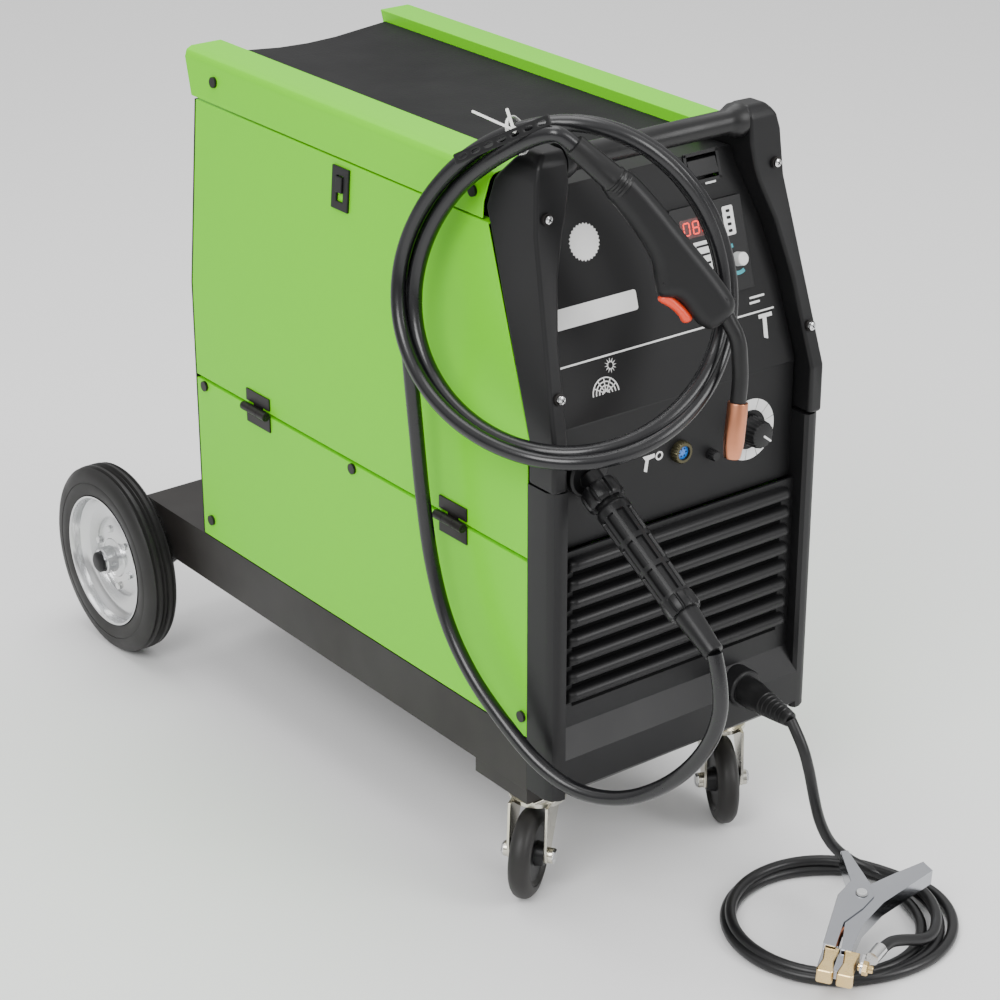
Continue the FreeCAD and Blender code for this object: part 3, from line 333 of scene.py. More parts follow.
def dusted(material, amount):
    """The same finish under the pale film that settles low on a machine on a floor."""
    tree = material.node_tree
    base_colour = tree.nodes["Principled BSDF"].inputs["Base Color"]
    settled = tree.nodes.new("ShaderNodeGroup")
    settled.node_tree = dust
    settled.inputs["Amount"].default_value = amount
    tree.links.new(base_colour.links[0].from_socket, settled.inputs["Colour"])
    tree.links.new(settled.outputs["Colour"], base_colour)
    return material


def fit_on(piece, node, material):
    """A piece fixed to the same body as a CAD node, with the given material."""
    bodies = frame["record"]["behaviour"]["bodies"]
    piece.data.materials.clear()
    piece.data.materials.append(material)
    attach(piece, next(name for name, nodes in bodies.items() if node in nodes))
    return piece


def stand_for(piece, node, material):
    """A piece that takes the place of a CAD node."""
    fit_on(piece, node, material)
    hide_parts(node)


black_paint = dusted(surface("black_powder_coat", (0.007, 0.006, 0.006), (0.012, 0.010, 0.009), 0.34, 0.50,
                             grain_scale=1000, depth=0.00005, shine=0.30), 0.10)
stand_for(softened("base_pan", "cart_base", 0.0016), "cart_base", black_paint)


# ---------------------------------------------------------------------------
# Rear wheels: solid rubber tyres with two grooves on pressed and zinc-plated discs that
# are bolted together round the hub, on a plain axle with pressed-on caps.
def piece_of(name, form):
    """The object made from a finished form."""
    mesh = bpy.data.meshes.new(name)
    form.to_mesh(mesh)
    form.free()
    piece = bpy.data.objects.new(name, mesh)
    scene.collection.objects.link(piece)
    return piece


def lathe(name, profile, at, along, steps=72, wave=None):
    """A turned piece: (along, radius) points round an axis, with an optional change of
    radius by angle."""
    form = bmesh.new()
    axis = Vector(along).normalized()
    turn = Vector((1, 0, 0)).rotation_difference(axis).to_matrix()
    rings = []
    for distance, radius in profile:
        if radius < 1e-6:
            rings.append([form.verts.new(Vector(at) + turn @ Vector((distance, 0, 0)))])
            continue
        ring = []
        for step in range(steps):
            angle = 2 * math.pi * step / steps
            reach = radius + (wave(angle, distance, radius) if wave else 0.0)
            spot = Vector((distance, reach * math.cos(angle), reach * math.sin(angle)))
            ring.append(form.verts.new(Vector(at) + turn @ spot))
        rings.append(ring)
    for first, second in zip(rings, rings[1:]):
        for step in range(steps):
            after = (step + 1) % steps
            corners = [first[step % len(first)], first[after % len(first)],
                       second[after % len(second)], second[step % len(second)]]
            unique = list(dict.fromkeys(corners))
            if len(unique) > 2:
                form.faces.new(unique)
    if tuple(profile[0]) != tuple(profile[-1]):
        for ring in (rings[0], rings[-1]):
            if len(ring) > 1:
                form.faces.new(ring)
    bmesh.ops.recalc_face_normals(form, faces=form.faces)
    piece = piece_of(name, form)
    piece.data.shade_smooth()
    piece.data.set_sharp_from_angle(angle=math.radians(35))
    return piece


def joined(name, pieces):
    """Several pieces made one object."""
    bpy.context.view_layer.update()
    form = bmesh.new()
    for piece in pieces:
        piece.data.transform(piece.matrix_world)
        form.from_mesh(piece.data)
        bpy.data.objects.remove(piece)
    return piece_of(name, form)


def hex_head(name, at, along, across, height):
    """A six-sided bolt head with a domed, chamfered top."""
    profile = [(0, across / 2), (height * 0.75, across / 2), (height, across * 0.42), (height, 0)]
    head = lathe(name, profile, at, along, steps=6)
    head.data.shade_flat()
    return head


zinc = surface("zinc_plate", (0.74, 0.73, 0.70), (0.60, 0.62, 0.66), 0.16, 0.30, metal=1.0, scale=14,
               grain_scale=500, depth=0.00002)
black_plastic = surface("black_moulding", (0.006, 0.006, 0.0065), (0.009, 0.009, 0.0095), 0.34, 0.46,
                        grain_scale=1400, depth=0.00006, shine=0.30)
tyre_rubber = dusted(surface("tyre_rubber", (0.007, 0.007, 0.0075), (0.013, 0.0125, 0.012), 0.42, 0.58,
                             scale=20, grain_scale=800, depth=0.00008, shine=0.35), 0.06)
for side, sign in (("left", -1), ("right", 1)):
    low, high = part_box("rear_tyre_" + side)
    hub = (low + high) / 2
    tread = (high.z - low.z) / 2
    half = (high.x - low.x) / 2
    groove = 0.0035
    across = [(0.0, 0), (-0.0018, groove), (-0.0034, groove), (-0.0052, 0), (-0.0085, 0.0002),
              (-0.0101, groove), (-0.0117, groove), (-0.0133, 0.0010), (-0.0160, 0.0032),
              (-0.0185, 0.0075), (-0.0202, 0.0130), (-0.0206, 0.0185), (-0.0198, 0.0192),
              (-0.0205, 0.0205), (-0.0203, 0.0280), (-0.0188, 0.0350), (-0.0150, 0.0362)]
    edge = [(-x, tread - y) for x, y in reversed(across[1:])] + [(x, tread - y) for x, y in across]
    tyre = lathe("tyre_" + side, edge + [edge[0]], hub, (-1, 0, 0), 128)
    stand_for(tyre, "rear_tyre_" + side, tyre_rubber)
    dish = [(0.0205, 0.0102), (0.0215, 0.0150), (0.0200, 0.0165), (0.0065, 0.0168), (0.0045, 0.0240),
            (0.0030, 0.0252), (0.0022, 0.0400), (-0.0032, 0.0500), (-0.0040, 0.0530), (-0.0005, 0.0660),
            (0.0004, 0.0710), (0.0036, 0.0745), (0.0070, 0.0782), (0.0150, 0.0788), (0.0192, 0.0805),
            (0.0197, 0.0828), (-0.0197, 0.0828), (-0.0192, 0.0805), (-0.0060, 0.0788), (-0.0058, 0.0530),
            (0.0000, 0.0260), (0.0000, 0.0165), (-0.0195, 0.0165), (-0.0205, 0.0102)]
    rim = [lathe("rim_" + side, dish, hub, (sign, 0, 0), 96)]
    for index in range(6):
        angle = 2 * math.pi * (index + 0.3) / 6
        spot = hub + Vector((sign * 0.0015, 0.037 * math.cos(angle), 0.037 * math.sin(angle)))
        rim.append(hex_head("wheel_bolt", spot, (sign, 0, 0), 0.010, 0.0045))
    stand_for(joined("wheel_disc_" + side, rim), "rear_rim_" + side, zinc)
low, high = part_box("rear_axle")
middle = (low + high) / 2
stand_for(lathe("axle_bar", [(-high.x + 0.007, 0.0099), (high.x - 0.007, 0.0099)], middle, (1, 0, 0), 48),
          "rear_axle", zinc)
caps = []
for sign in (-1, 1):
    cap = [(high.x - 0.0065, 0.0100), (high.x - 0.0065, 0.0128), (high.x - 0.003, 0.0128),
           (high.x - 0.001, 0.0105), (high.x, 0.006), (high.x, 0)]
    caps.append(lathe("axle_cap", cap, middle, (sign, 0, 0), 48))
fit_on(joined("axle_caps", caps), "rear_axle", black_plastic)


# ---------------------------------------------------------------------------
# Swivel casters: pressed and yellow-passivated forks on ball races under square top
# plates, each with a rubber wheel on a pressed steel centre and a through bolt.
yellow_zinc = surface("passivated_zinc", (0.72, 0.66, 0.50), (0.60, 0.61, 0.60), 0.16, 0.32, metal=1.0,
                      scale=18, grain_scale=500, depth=0.00002)
stand_for(softened("caster_top_plates", "caster_plates", 0.001), "caster_plates", yellow_zinc)
caster_joints = {joint["name"]: joint for joint in frame["joints"]}
rolled_steel = surface("wheel_centre", (0.66, 0.62, 0.52), (0.52, 0.50, 0.45), 0.25, 0.4, metal=1.0, scale=30)
for side in ("left", "right"):
    stand_for(softened("fork_" + side, "caster_fork_" + side, 0.0009), "caster_fork_" + side, yellow_zinc)
    spin = caster_joints[side + "_caster_spin"]
    hub = Vector(spin["pos_m"])
    way = Vector(spin["axis"])
    for sign in (-1, 1):
        nut = hex_head("axle_nut_%s_%s" % (side, "a" if sign < 0 else "b"), hub + way * sign * 0.0222,
                       way * sign, 0.016, 0.0075)
        fit_on(nut, "caster_fork_" + side, zinc)
    wheel_radius = hub.z
    band = [(0.0, 0.0), (-0.004, 0.0003), (-0.0072, 0.0020), (-0.0102, 0.0056), (-0.0116, 0.0105),
            (-0.0118, 0.0140), (-0.0105, 0.0146), (-0.0112, 0.0160), (-0.0085, 0.0185), (-0.0085, 0.0200)]
    edge = [(-x, wheel_radius - y) for x, y in reversed(band[1:])] + [(x, wheel_radius - y) for x, y in band]
    tyre = lathe("caster_tyre_" + side, edge + [edge[0]], hub, way, 96)
    stand_for(tyre, "caster_wheel_" + side, tyre_rubber)
    centre = [(0.0084, 0.0302), (0.0070, 0.0290), (0.0050, 0.0240), (0.0050, 0.0170), (0.0075, 0.0140),
              (0.0184, 0.0118), (0.0184, 0.0052)]
    whole = centre + [(-x, r) for x, r in reversed(centre)]
    fit_on(lathe("caster_centre_" + side, whole, hub, way, 64), "caster_wheel_" + side, black_plastic)
    bush = [(0.0186, 0.0052), (0.0186, 0.0090), (-0.0186, 0.0090), (-0.0186, 0.0052)]
    fit_on(lathe("caster_bush_" + side, bush, hub, way, 40), "caster_wheel_" + side, rolled_steel)

# ---------------------------------------------------------------------------
# Front fascia: one injection moulding in fine-grained black plastic, with two rounded
# columns, a bumper that meets the floor side, and eight shingled louvres over the air
# slots.  It is screwed to the front of the base.
fascia = softened("fascia_moulding", "front_fascia", 0.0030, 4)
RECESS = FRONT - 0.0250
LOUVRES = 8
LOUVRE_PITCH = 0.021
LOUVRE_FOOT = 0.246
LOUVRE_TOP = 0.413
LOUVRE_HALF = 0.150
MARGIN = 0.0005
for vert in fascia.data.vertices:
    spot = vert.co
    among_louvres = abs(spot.x) < LOUVRE_HALF + MARGIN and LOUVRE_FOOT - MARGIN < spot.z < LOUVRE_TOP
    if among_louvres and spot.y < RECESS - MARGIN:
        spot.y = RECESS + MARGIN
stand_for(fascia, "front_fascia", black_plastic)
SLAT = [(0.0000, 0.0200), (-0.0055, 0.0195), (-0.0088, 0.0178), (-0.0104, 0.0150), (-0.0106, 0.0120),
        (-0.0096, 0.0094), (-0.0070, 0.0080), (-0.0030, 0.0082), (0.0000, 0.0088)]
END_ROUND = 0.012
stations = [-1 + step / 8 for step in range(8)] + [0] + [1 - step / 8 for step in reversed(range(8))]
form = bmesh.new()
for louvre in range(LOUVRES):
    foot = LOUVRE_FOOT + louvre * LOUVRE_PITCH
    rows = []
    for station in stations:
        share = math.sqrt(max(0.0, 1 - station ** 2))
        x = math.copysign(LOUVRE_HALF - END_ROUND * (1 - abs(station)), station) if station else 0.0
        rows.append([form.verts.new((x, RECESS + depth * share, foot + up - 0.005 * (1 - share)))
                     for depth, up in SLAT])
    for first, second in zip(rows, rows[1:]):
        for low, high in zip(range(len(SLAT) - 1), range(1, len(SLAT))):
            form.faces.new((first[low], first[high], second[high], second[low]))
bmesh.ops.remove_doubles(form, verts=form.verts, dist=0.00001)
bmesh.ops.recalc_face_normals(form, faces=form.faces)
slats = piece_of("louvre_slats", form)
slats.data.shade_smooth()
fit_on(slats, "front_fascia", black_plastic)
# Near-black strips at the back of the louvres: partly the real openings of the air slots, partly painted shade on
# the recess face beneath each slat.
slot_and_shade_black = surface("slot_opening_and_painted_shade", (0.0010, 0.0010, 0.0011), (0.0018, 0.0018, 0.0019), 0.7, 0.9, shine=0.1)
form = bmesh.new()
for louvre in range(LOUVRES):
    foot = LOUVRE_FOOT + louvre * LOUVRE_PITCH
    corners = [form.verts.new((x, RECESS - 0.0004, foot + up)) for x, up in
               ((-0.140, -0.0008), (0.140, -0.0008), (0.140, 0.0090), (-0.140, 0.0090))]
    form.faces.new(corners)
fit_on(piece_of("louvre_slots_and_painted_shade", form), "front_fascia", slot_and_shade_black)

# ---------------------------------------------------------------------------
# Handle posts and bar: two thick mouldings that rise from the fascia's columns
# and lean back to the top rails, with a rubber-sleeved tube between them.
for side in ("left", "right"):
    post = softened("post_" + side, "handle_post_" + side, 0.0085, 5)
    stand_for(post, "handle_post_" + side, black_plastic)
low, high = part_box("handle_bar")
bar_middle = (low + high) / 2
bar_half = (high.x - low.x) / 2
BAR_RADIUS = 0.0125
sleeve = [(-bar_half, 0.018), (-bar_half + 0.008, 0.0178), (-bar_half + 0.014, 0.0150),
          (-bar_half + 0.020, BAR_RADIUS), (bar_half - 0.020, BAR_RADIUS), (bar_half - 0.014, 0.0150),
          (bar_half - 0.008, 0.0178), (bar_half, 0.018)]
soft_rubber = surface("black_rubber", (0.006, 0.006, 0.0065), (0.010, 0.010, 0.010), 0.28, 0.40,
                      scale=30, grain_scale=700, depth=0.00003, shine=0.35)
stand_for(lathe("bar_sleeve", sleeve, bar_middle, (1, 0, 0), 64), "handle_bar", soft_rubber)

# ---------------------------------------------------------------------------
# Cabinet skins: 2 mm steel sheet with turned-in edges, powder-coated a bright leaf
# green.  Two top rails of the same sheet are folded round the machine's upper edges.
green = surface("green_powder_coat", (0.150, 0.660, 0.001), (0.170, 0.690, 0.002), 0.30, 0.40,
                scale=2.5, grain_scale=1300, depth=0.00004, shine=0.15)
for name, node in (("lower_side_sheet", "lower_panel_left"), ("door_sheet", "side_door"),
                   ("right_side_sheet", "side_panel_right")):
    stand_for(softened(name, node, 0.0009, 2), node, green)
stand_for(softened("folded_rails", "top_rails", 0.0030, 4), "top_rails", green)

# ---------------------------------------------------------------------------
# Top tray: a grained black rubber mat sunk between the rails, and the black rear panel
# with its fan guard, cable gland and gas inlet.
mat_rubber = surface("tray_mat", (0.006, 0.006, 0.0065), (0.011, 0.011, 0.0115), 0.60, 0.78, scale=10,
                     grain_scale=350, depth=0.0003, shine=0.2)
stand_for(softened("tray_mat_sheet", "top_tray", 0.0006, 2), "top_tray", mat_rubber)
stand_for(softened("rear_sheet", "rear_panel", 0.0006, 2), "rear_panel", black_paint)

# ---------------------------------------------------------------------------
# Door hardware: two black steel hinges on the seam, and a recessed plastic latch whose
# thumb slide is pulled down to free the door.
stand_for(softened("hinge_fixed_half", "hinge_brackets", 0.0005, 2), "hinge_brackets", black_paint)
stand_for(softened("hinge_door_half", "hinge_leaves", 0.0005, 2), "hinge_leaves", black_paint)
stand_for(softened("latch_bezel", "latch_plate", 0.0008, 3), "latch_plate", black_plastic)
stand_for(softened("latch_thumb_slide", "latch_slider", 0.0009, 3), "latch_slider", black_plastic)


# ---------------------------------------------------------------------------
# Control panel: a folded steel plate under a matt black overlay.  The overlay's print
# is plain here: a rule, a blank plate and a blank seal, with pictograms at the sockets.
panel_black = surface("panel_overlay", (0.005, 0.005, 0.0055), (0.008, 0.008, 0.0085), 0.40, 0.52,
                      grain_scale=1800, depth=0.00003, shine=0.25)
stand_for(softened("panel_plate", "control_panel", 0.0008, 2), "control_panel", panel_black)
PANEL_SLOPE = 0.30
SLOPE_FOOT = Vector((0, FRONT - 0.0200, 0.545))
STEEP = math.sqrt(1 + PANEL_SLOPE ** 2)
UPRIGHT_FACE = FRONT - 0.0175


def on_slope(x, z, out=0.0):
    """A frame on the sloping face at a place: X across, Y up the slope, Z outward."""
    up = Vector((0, PANEL_SLOPE, 1)) / STEEP
    away = Vector((0, -1, PANEL_SLOPE)) / STEEP
    spot = Vector((x, SLOPE_FOOT.y + (z - SLOPE_FOOT.z) * PANEL_SLOPE, z)) + away * out
    return placed(Vector((1, 0, 0)), up, away, spot)


def on_upright(x, z, out=0.0):
    """The same on the upright face below it."""
    spot = Vector((x, UPRIGHT_FACE - out, z))
    return placed(Vector((1, 0, 0)), Vector((0, 0, 1)), Vector((0, -1, 0)), spot)


def slab(name, outline, thickness, at, rounding=0.0):
    """A flat piece cut to an outline, lying on a frame's XY plane."""
    form = bmesh.new()
    bottom = [form.verts.new((x, y, 0)) for x, y in outline]
    face = form.faces.new(bottom)
    lifted = bmesh.ops.extrude_face_region(form, geom=[face])["geom"]
    for vert in lifted:
        if isinstance(vert, bmesh.types.BMVert):
            vert.co.z += thickness
    bmesh.ops.recalc_face_normals(form, faces=form.faces)
    piece = piece_of(name, form)
    piece.data.transform(at)
    if rounding:
        edge = piece.modifiers.new("rounding", "BEVEL")
        edge.width = rounding
        edge.segments = 3
    return piece


def rounded(width, height, radius, x=0.0, y=0.0, steps=5):
    """The outline of a rectangle with round corners."""
    outline = []
    for cx, cy, start in ((1, 1, 0), (-1, 1, 90), (-1, -1, 180), (1, -1, 270)):
        for step in range(steps + 1):
            angle = math.radians(start + 90 * step / steps)
            outline.append((x + cx * (width / 2 - radius) + radius * math.cos(angle),
                            y + cy * (height / 2 - radius) + radius * math.sin(angle)))
    return outline


def ring_piece(name, inner, outer, start, end, thickness, at, steps=48):
    """A flat ring, or the part of one between two angles."""
    form = bmesh.new()
    rows = []
    for step in range(steps + 1):
        angle = math.radians(start + (end - start) * step / steps)
        rows.append([form.verts.new((radius * math.cos(angle), radius * math.sin(angle), height))
                     for radius, height in ((inner, 0), (outer, 0), (outer, thickness), (inner, thickness))])
    for first, second in zip(rows, rows[1:]):
        for corner in range(4):
            after = (corner + 1) % 4
            form.faces.new((first[corner], second[corner], second[after], first[after]))
    if abs(end - start) < 360:
        form.faces.new(rows[0])
        form.faces.new(rows[-1])
    bmesh.ops.recalc_face_normals(form, faces=form.faces)
    piece = piece_of(name, form)
    piece.data.transform(at)
    return piece


white_print = surface("white_print", (0.80, 0.80, 0.79), (0.72, 0.72, 0.71), 0.40, 0.52, scale=40)
PRINT = 0.0004
prints = [slab("rule", rounded(0.284, 0.0018, 0.0008), PRINT, on_slope(-0.002, 0.607)),
          slab("name_plate", rounded(0.105, 0.0205, 0.003), PRINT, on_slope(-0.0855, 0.651)),
          slab("upper_mark", rounded(0.014, 0.003, 0.001), PRINT, on_slope(0.084, 0.742)),
          slab("socket_mark", rounded(0.030, 0.0026, 0.001), PRINT, on_upright(-0.034, 0.503)),
          slab("torch_sign_a", [(-0.010, 0.006), (0.006, 0.006), (0.006, 0.002), (-0.002, 0.001),
                                (-0.004, -0.012), (-0.008, -0.010), (-0.006, 0.001)], PRINT,
               on_upright(-0.036, 0.488)),
          ring_piece("torch_sign_b", 0.0030, 0.0048, 0, 360, PRINT, on_upright(-0.024, 0.490), 24),
          slab("clamp_sign", [(0.0, 0.010), (0.018, 0.010), (0.018, 0.006), (0.010, 0.006), (0.008, -0.016),
                              (0.003, -0.014), (0.005, 0.006), (0.0, 0.006)], PRINT, on_slope(0.118, 0.594)),
          slab("small_line_a", rounded(0.020, 0.0022, 0.0008), PRINT, on_slope(0.120, 0.622)),
          slab("small_line_b", rounded(0.014, 0.0022, 0.0008), PRINT, on_slope(0.116, 0.617))]
# a blank seal with a scalloped edge
SCALLOPS = 28
seal_edge = []
for index in range(SCALLOPS * 2):
    angle = math.pi * index / SCALLOPS
    reach = 0.0190 if index % 2 else 0.0172
    seal_edge.append((reach * math.cos(angle), reach * math.sin(angle)))
prints.append(slab("seal", seal_edge, PRINT, on_slope(-0.085, 0.716)))
# a dome of crossed arcs with a small sun above it, as a plain pictogram
for index in range(4):
    prints.append(ring_piece("arc", 0.0035 + 0.004 * index, 0.0047 + 0.004 * index, 0, 180, PRINT,
                             on_slope(-0.090, 0.572), 24))
for index in range(5):
    angle = math.radians(30 + 30 * index)
    spoke = slab("meridian", [(0.002, -0.0005), (0.016, -0.0005), (0.016, 0.0005), (0.002, 0.0005)], PRINT,
                 on_slope(-0.090, 0.572) @ Matrix.Rotation(angle, 4, "Z"))
    prints.append(spoke)
for index in range(12):
    spoke = slab("ray", [(0.003, -0.0007), (0.0075, 0.0), (0.003, 0.0007)], PRINT,
                 on_slope(-0.079, 0.597) @ Matrix.Rotation(math.pi * index / 6, 4, "Z"))
    prints.append(spoke)
fit_on(joined("panel_print", prints), "control_panel", white_print)

# the dial's printed scale: a white ring in segments, open at the left
dial = []
for index in range(9):
    start = -125 + 28 * index
    dial.append(ring_piece("scale", 0.0215, 0.0335, start, start + 26.5, PRINT, on_upright(0.098, 0.487), 8))
fit_on(joined("dial_scale", dial), "control_panel", white_print)

# ---------------------------------------------------------------------------
# Display module: a black bezel round a red three-digit window, a printed white label
# and a column of small marks, with a white push knob.
stand_for(softened("display_bezel", "display_module", 0.0025, 3), "display_module", black_plastic)
MODULE_OUT = 0.0060
window_red = surface("display_window", (0.060, 0.004, 0.004), (0.080, 0.006, 0.005), 0.12, 0.2, scale=30)
digit_red = surface("lit_segments", (0.85, 0.035, 0.02), (0.95, 0.05, 0.03), 0.3, 0.4, scale=30, glow=1.6)
fit_on(slab("display_glass", rounded(0.040, 0.0195, 0.002), PRINT, on_slope(0.0505, 0.7035, MODULE_OUT)),
       "display_module", window_red)
SEGMENTS = {"0": "abcdef", "8": "abcdefg", "6": "acdefg"}
BARS = {"a": (0, 1, 0), "g": (0, 0, 0), "d": (0, -1, 0), "f": (-0.5, 0.5, 1), "b": (0.5, 0.5, 1),
        "e": (-0.5, -0.5, 1), "c": (0.5, -0.5, 1)}
lit = []
for place_number, digit in enumerate("086"):
    for letter in SEGMENTS[digit]:
        across, up, stands = BARS[letter]
        width, height = (0.0013, 0.0055) if stands else (0.0060, 0.0013)
        outline = rounded(width, height, 0.0005, -0.012 + 0.012 * place_number + across * 0.0072,
                          up * 0.0062, 2)
        lit.append(slab("segment", outline, PRINT, on_slope(0.0505, 0.7035, MODULE_OUT + PRINT)))
fit_on(joined("display_digits", lit), "display_module", digit_red)
labels = [slab("label", rounded(0.024, 0.036, 0.002), PRINT, on_slope(0.055, 0.672, MODULE_OUT)),
          slab("label", rounded(0.014, 0.030, 0.002), PRINT, on_slope(0.0945, 0.702, MODULE_OUT))]
fit_on(joined("display_labels", labels), "display_module", white_print)
marks = []
for row in range(4):
    marks.append(slab("mark", rounded(0.016, 0.0022, 0.0008), PRINT,
                      on_slope(0.055, 0.659 + 0.0085 * row, MODULE_OUT + PRINT)))
    marks.append(slab("mark", rounded(0.005, 0.003, 0.001), PRINT,
                      on_slope(0.0945, 0.692 + 0.0065 * row, MODULE_OUT + PRINT)))
fit_on(joined("display_marks", marks), "display_module", panel_black)
teal = surface("teal_print", (0.02, 0.30, 0.36), (0.03, 0.36, 0.42), 0.4, 0.5, scale=30)
arcs = [ring_piece("arc", 0.0125, 0.0165, start, start + 60, PRINT, on_slope(0.097, 0.664, MODULE_OUT), 12)
        for start in (100, 240)]
fit_on(joined("display_arcs", arcs), "display_module", teal)
knob_white = surface("white_knob", (0.78, 0.78, 0.76), (0.70, 0.70, 0.68), 0.25, 0.35, scale=30, coat=0.3)
stand_for(softened("push_knob", "display_knob", 0.0012, 3), "display_knob", knob_white)


# ---------------------------------------------------------------------------
# Voltage knob, trim knob, rocker and remote socket: fluted black thermoset knobs with a
# white pointer, a two-way rocker, and a round connector with a knurled brass-olive ring.
def fluted(count, depth):
    """Shallow flutes cut round a knob's skirt."""
    return lambda angle, distance, radius: -depth * (0.5 + 0.5 * math.cos(count * angle))


def seat_of(node, out=0.0):
    """The middle of a CAD node on the upright face, or a little in front of it."""
    low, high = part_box(node)
    return Vector(((low.x + high.x) / 2, UPRIGHT_FACE - out, (low.z + high.z) / 2))


knob_back = seat_of("voltage_knob", PRINT)
knob = lathe("fluted_knob", [(0, 0.003), (0, 0.0168), (0.0035, 0.0170), (0.0055, 0.0155), (0.0180, 0.0148),
                             (0.0208, 0.0138), (0.0216, 0.0118), (0.0214, 0.0)], knob_back, (0, -1, 0), 120,
             fluted(20, 0.0009))
stand_for(knob, "voltage_knob", black_plastic)
pointer = slab("knob_pointer", rounded(0.0130, 0.0022, 0.001, 0.0070), 0.0006,
               on_upright(knob_back.x, knob_back.z, 0.0216) @ Matrix.Rotation(math.radians(-38), 4, "Z"))
fit_on(pointer, "voltage_knob", white_print)
trim_cap = lathe("trim_cap", [(0, 0.002), (0, 0.0060), (0.008, 0.0057), (0.0098, 0.0048), (0.0098, 0.0)],
                 seat_of("trim_knob", PRINT), (0, -1, 0), 72, fluted(14, 0.0005))
stand_for(trim_cap, "trim_knob", black_plastic)
stand_for(softened("rocker_key", "power_rocker", 0.0009, 3), "power_rocker", black_plastic)
ROCKER_AT = (0.076, 0.7580)
rocker_frame = [slab("rocker_back", rounded(0.048, 0.034, 0.003), 0.001, on_slope(*ROCKER_AT, -0.0145))]
for x, y, width, height in ((0, 0.0142, 0.046, 0.0036), (0, -0.0142, 0.046, 0.0036),
                            (0.0213, 0, 0.0036, 0.0300), (-0.0213, 0, 0.0036, 0.0300)):
    rocker_frame.append(slab("rocker_edge", rounded(width, height, 0.0010, x, y), 0.0014,
                             on_slope(*ROCKER_AT)))
fit_on(joined("rocker_frame", rocker_frame), "control_panel", black_plastic)
socket_back = seat_of("remote_socket")
olive = surface("olive_anodised", (0.060, 0.055, 0.030), (0.10, 0.09, 0.05), 0.3, 0.42, metal=0.8, scale=50)
ring = lathe("socket_ring", [(0, 0.0078), (0, 0.0120), (0.0058, 0.0120), (0.0078, 0.0108), (0.0080, 0.0080),
                             (0.0022, 0.0076)], socket_back, (0, -1, 0), 96, fluted(24, 0.0007))
stand_for(ring, "remote_socket", olive)
blue = surface("blue_insert", (0.015, 0.16, 0.62), (0.02, 0.22, 0.75), 0.25, 0.35, scale=40, coat=0.3)
insert = [lathe("insert", [(0.0010, 0.0), (0.0010, 0.0076), (0.0048, 0.0076), (0.0052, 0.0070),
                           (0.0052, 0.0)], socket_back, (0, -1, 0), 48)]
fit_on(joined("socket_insert", insert), "remote_socket", blue)
# The six pin holes are flat dark discs on the insert's face: painted shade in place of real openings.
pin_hole_shade = []
for index in range(6):
    angle = 2 * math.pi * index / 6
    spot = on_upright(socket_back.x + 0.0042 * math.cos(angle), socket_back.z + 0.0042 * math.sin(angle),
                      0.0052)
    pin_hole_shade.append(slab("pin_hole_shade_disc", rounded(0.0018, 0.0018, 0.0008, steps=2), 0.0002, spot))
fit_on(joined("socket_pin_hole_shade", pin_hole_shade), "remote_socket", panel_black)

# ---------------------------------------------------------------------------
# Torch connector: a glass-filled nylon sleeve with three rows of windows moulded round
# it, a hexagonal hand nut, and a tapered rubber strain relief where the hose leaves.
DOWNWARD = Vector((0, -1, -0.614)).normalized()
TORCH_AT = Vector((-0.120, FRONT - 0.0225, 0.497))


def windows(angle, distance, radius):
    """Rectangular hollows in three rows along the sleeve."""
    along_row = ((distance - 0.052) % 0.0355) / 0.0355
    inside_row = 0.052 < distance < 0.158 and 0.08 < along_row < 0.90
    round_share = (angle * 9 / (2 * math.pi)) % 1.0
    return -0.0028 if inside_row and 0.22 < round_share < 0.78 else 0.0


def end_slots(angle, distance, radius):
    """Twelve slots round the cuff."""
    share = (angle * 12 / (2 * math.pi)) % 1.0
    return -0.0016 if share < 0.25 else 0.0


def finger_grooves(angle, distance, radius):
    """Eight grooves round the hand nut."""
    return -0.0022 * (abs(math.sin(4 * angle)) < 0.35)


BARREL_FROM = 0.046
BARREL_LONG = 0.112
BARREL_RINGS = 108
profile = [(0.0430, 0.0), (0.0430, 0.0165), (0.0440, 0.0172)]
for step in range(BARREL_RINGS + 1):
    distance = BARREL_FROM + BARREL_LONG * step / BARREL_RINGS
    profile.append((distance, 0.0180 - 0.0016 * (distance - BARREL_FROM) / BARREL_LONG))
profile += [(0.1600, 0.0160), (0.1600, 0.0)]
barrel = lathe("sleeve_barrel", profile, TORCH_AT, DOWNWARD, 162, windows)
cuff = lathe("sleeve_cuff", [(0.1585, 0.0), (0.1585, 0.0168), (0.1610, 0.0178), (0.1740, 0.0178),
                             (0.1765, 0.0165), (0.1770, 0.0)], TORCH_AT, DOWNWARD, 96, end_slots)
relief = lathe("sleeve_relief", [(0.176, 0.0), (0.176, 0.0128), (0.180, 0.0132), (0.218, 0.0104),
                                 (0.2225, 0.0106), (0.2255, 0.0100), (0.226, 0.0080)], TORCH_AT, DOWNWARD, 72)
stand_for(joined("connector_sleeve", [barrel, cuff, relief]), "torch_sleeve", black_plastic)
nut = lathe("hand_nut_form", [(0.0176, 0.0122), (0.0176, 0.0196), (0.0210, 0.0206), (0.0225, 0.0206),
                              (0.0340, 0.0206), (0.0360, 0.0196), (0.0378, 0.0176), (0.0378, 0.0122)],
            TORCH_AT, DOWNWARD, 96, finger_grooves)
stand_for(nut, "torch_collar", black_plastic)
stand_for(softened("socket_flange", "torch_socket", 0.0012, 3), "torch_socket", black_plastic)


